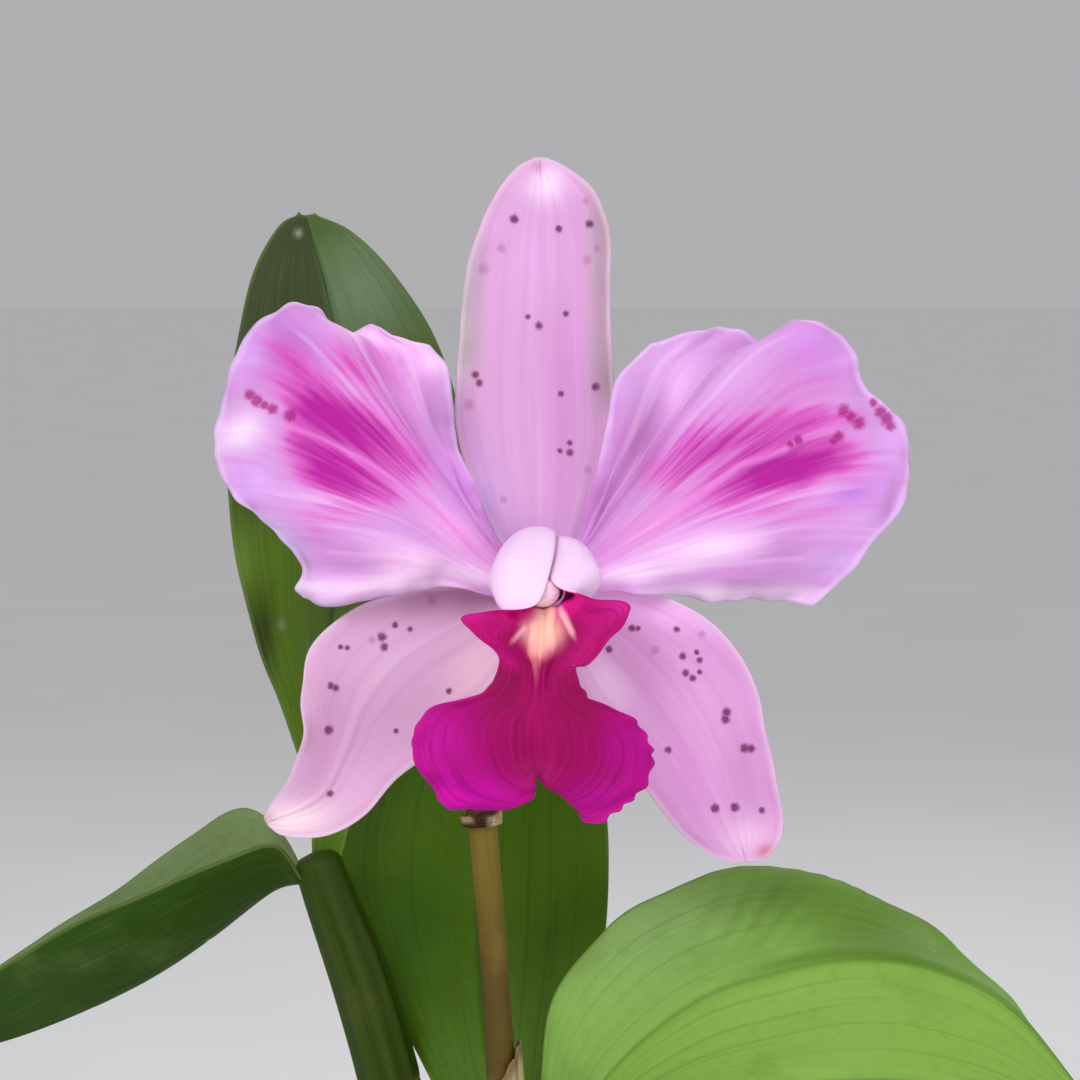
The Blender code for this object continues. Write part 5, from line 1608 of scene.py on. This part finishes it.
# The sepals, with their spots as (x, y, half width) in px
DORSAL_SPOTS = [
    (514, 219, 5), (559, 229, 4), (590, 224, 4.5), (528, 317, 3), (539, 326, 4.5), (566, 314, 3.5),
    (475, 375, 4), (479, 383, 4), (596, 387, 4.5), (561, 394, 3.5), (570, 443, 3.2), (570, 453, 4),
    (560, 451, 3),
]
DORSAL_FAINT = [
    (501, 248, 5), (483, 269, 6), (587, 260, 5), (597, 249, 4), (586, 201, 4), (469, 405, 6),
    (588, 470, 4),
    (503, 500, 4),
]
LEFT_SEPAL_SPOTS = [
    (395, 625, 3.5), (410, 629, 3), (382, 637, 5), (384, 647, 4.5), (340, 647, 3), (347, 648, 3),
    (330, 686, 4), (335, 688, 4), (328, 730, 5), (449, 691, 3.5), (396, 731, 3), (330, 793, 4),
]
LEFT_SEPAL_FAINT = [(505, 606, 5), (432, 600, 6), (372, 640, 4)]
RIGHT_SEPAL_SPOTS = [
    (632, 628, 4), (638, 628, 3), (677, 629, 3.5), (683, 656, 4), (697, 652, 3), (700, 660, 3.5),
    (686, 673, 4),
    (693, 678, 4), (700, 672, 3), (727, 712, 5), (726, 719, 5), (745, 748, 5), (751, 748, 5),
    (668, 750, 4),
    (715, 808, 5), (735, 807, 5), (762, 810, 3.5), (609, 649, 4),
]
RIGHT_SEPAL_FAINT = [(702, 634, 4), (655, 650, 5)]
sepal("dorsal_sepal_bloom", "dorsal_sepal", (DORSAL_LEFT, DORSAL_MIDDLE, DORSAL_RIGHT), 130,
      dorsal_tint, two_sided(sepal_finish, "dorsal_sepal_satin", DORSAL_SPOTS, DORSAL_FAINT))
sepal("sepal_left_bloom", "sepal_left",
      (SEPAL_LEFT_OUTER, SEPAL_LEFT_MIDDLE, SEPAL_LEFT_INNER), 120, left_sepal_tint,
      two_sided(sepal_finish, "sepal_left_satin", LEFT_SEPAL_SPOTS, LEFT_SEPAL_FAINT))
sepal("sepal_right_bloom", "sepal_right",
      (SEPAL_RIGHT_OUTER, SEPAL_RIGHT_MIDDLE, SEPAL_RIGHT_INNER), 120, right_sepal_tint,
      two_sided(sepal_finish, "sepal_right_satin", RIGHT_SEPAL_SPOTS, RIGHT_SEPAL_FAINT))

# The petals, with the strokes of their magenta flares as (x, y, half width, strength) in px
LEFT_FLARE = [
    [(440, 490, 10, 0.1), (406, 464, 16, 0.7), (374, 441, 20, 1.0), (345, 424, 20, 1.15),
     (318, 408, 17, 1.1),
     (298, 385, 16, 0.6), (280, 350, 20, 0.35)],
    [(415, 500, 12, 0.2), (384, 487, 16, 0.7), (352, 478, 20, 1.05), (328, 466, 18, 1.1),
     (308, 446, 14, 0.8)],
    [(340, 490, 26, 0.55), (320, 515, 16, 0.3)],
    [(320, 395, 18, 0.6), (345, 370, 22, 0.45), (375, 372, 22, 0.35)],
]
LEFT_MIDLINE = [
    (478, 556, 3, 0.2), (464, 538, 3.0, 0.5), (430, 504, 3.2, 0.8), (395, 478, 3.2, 1.0),
    (361, 457, 3.0, 1.0),
    (319, 437, 3.0, 1.0), (287, 425, 3.5, 0.8),
]
RIGHT_FLARE = [
    [(645, 492, 16, 0.15), (668, 474, 18, 0.55), (702, 454, 19, 0.75), (749, 444, 18, 0.75),
     (784, 430, 15, 0.6),
     (820, 417, 12, 0.45), (856, 418, 8, 0.4)],
    [(690, 512, 12, 0.3), (739, 488, 16, 0.85), (762, 477, 18, 1.1), (797, 469, 17, 1.15),
     (826, 457, 14, 0.9),
     (868, 470, 18, 0.3)],
    [(760, 505, 12, 0.4), (810, 500, 22, 0.30)],
    [(720, 425, 20, 0.30), (762, 408, 22, 0.18), (790, 392, 22, 0.22), (815, 380, 22, 0.25)],
]
RIGHT_MIDLINE = [
    (600, 560, 3, 0.2), (659, 527, 3.2, 0.7), (702, 496, 3.4, 0.9), (739, 466, 3.4, 1.0),
    (782, 451, 3.2, 1.0),
    (808, 435, 3.2, 1.0), (839, 426, 3.5, 0.8),
]
LEFT_PETAL_SPOTS = [(251, 395, 6), (258, 401, 7), (265, 405, 5), (273, 409, 6), (291, 415, 7)]
RIGHT_PETAL_SPOTS = [
    (843, 411, 7), (850, 417, 6), (858, 423, 7), (838, 436, 6), (833, 441, 4.5), (798, 440, 5),
    (790, 444, 4),
    (873, 403, 5), (880, 412, 7), (886, 419, 8), (890, 426, 6),
]
petal("petal_left_bloom", "petal_left", (PETAL_LEFT_LOWER, PETAL_LEFT_FAR, PETAL_LEFT_UPPER),
      left_petal_tint, LEFT_FLARE, LEFT_MIDLINE, 0.02,
      two_sided(petal_finish, "petal_left_flared", LEFT_PETAL_SPOTS))
petal("petal_right_bloom", "petal_right", (PETAL_RIGHT_LOWER, PETAL_RIGHT_FAR, PETAL_RIGHT_UPPER),
      right_petal_tint, RIGHT_FLARE, RIGHT_MIDLINE, 0.11,
      two_sided(petal_finish, "petal_right_flared", RIGHT_PETAL_SPOTS))

# The lip, the column and its anther cap
lip()
waxy = column_finish()
column = limb("column_bloom", COLUMN_PATH, COLUMN_RADII, 48, 60,
              lambda angle, along: 1 + 0.05 * np.cos(angle * 2) + 0.03 * np.cos(angle * 7),
              0.08, matrix=FLOWER)
anther = limb("anther_cap_bloom", ANTHER_PATH, ANTHER_RADII, 48, 40,
              lambda angle, along: 1 + 0.08 * np.cos(angle * 2 + 0.4) * (1 - along),
              0.35, matrix=FLOWER)
for sheet, node in ((column, "column"), (anther, "anther_cap")):
    piece = sheet.close()
    dress(piece, waxy)
    grown(piece, "column_skin", node)

# Stems, bulbs and dry bracts
stem_skin = stem_finish()
bulb_skin = bulb_finish()
bract_skin = bract_finish()
stem("flower_stem_grown", "flower_stem", PEDUNCLE_PATH, PEDUNCLE_RADII, stem_tint,
     lambda angle, along: 1 + 0.02 * np.cos(angle * 5)
     + 0.10 * np.exp(-((along - 0.965) / 0.012) ** 2)
     + 0.08 * np.exp(-((along - 0.47) / 0.010) ** 2))
stem("ovary_grown", "ovary", OVARY_PATH, OVARY_RADII, ovary_tint,
     lambda angle, along: 1 + 0.06 * np.cos(angle * 6) * smooth(along, 0.2, 0.6))
pseudobulb("bulb_front_grown", "bulb_front", BULB_FRONT_PATH, BULB_FRONT_RADII, 9,
           (0.14, 0.36, 0.6), 2)
pseudobulb("bulb_left_grown", "bulb_left", BULB_LEFT_PATH, BULB_LEFT_RADII, 9,
           (0.1, 0.28, 0.46, 0.66), 5)
papery_sleeve("bulb_sheath_front_dry", "bulb_sheath_front", BULB_FRONT_PATH, BULB_FRONT_RADII,
              (0.08, 0.66), 0.22, 31, 0.9 * MM)
papery_sleeve("bulb_sheath_left_dry", "bulb_sheath_left", BULB_LEFT_PATH, BULB_LEFT_RADII,
              (0.05, 0.50), 0.16, 37, 0.9 * MM)
papery_sleeve("flower_sheath_dry", "flower_sheath", PEDUNCLE_PATH, FLOWER_SHEATH_RADII,
              (0.1, 0.46), 0.14, 41, 0.7 * MM)
papery_sleeve("stem_bract_dry", "stem_bract", PEDUNCLE_PATH, STEM_BRACT_RADII,
              (0.95, 1.0), 0.025, 43, 0.45 * MM, torn=0.9, rings=24, withered=True)
creeping_stem()

# Leaves
leaf("leaf_tall_grown", "leaf_tall", LEAF_TALL, (70, 150), 0.5, tall_leaf_tint,
     leaf_finish("leaf_skin_tall", tone(0.19, 0.25, 0.11), tone(0.38, 0.46, 0.31), 0.46))
leaf("leaf_arching_grown", "leaf_arching", LEAF_ARCHING, (70, 140), 0.6, arching_leaf_tint,
     leaf_finish("leaf_skin_arching", tone(0.14, 0.22, 0.03), tone(0.42, 0.50, 0.28), 0.46))
leaf("leaf_middle_grown", "leaf_middle", LEAF_MIDDLE, (70, 150), 0.5, middle_leaf_tint,
     leaf_finish("leaf_skin_middle", tone(0.15, 0.23, 0.05), tone(0.30, 0.40, 0.13), 0.48))
leaf("leaf_right_grown", "leaf_right", LEAF_RIGHT, (80, 160), 0.5, right_leaf_tint,
     leaf_finish("young_leaf_skin", tone(0.33, 0.47, 0.10), tone(0.52, 0.66, 0.32), 0.5, 0.4),
     "young_leaf", belly=-1.5 * MM, extra=slanting_ripples)

# The pot and its bark
bark_skin = bark_finish()
potting_bark()
clay_pot()
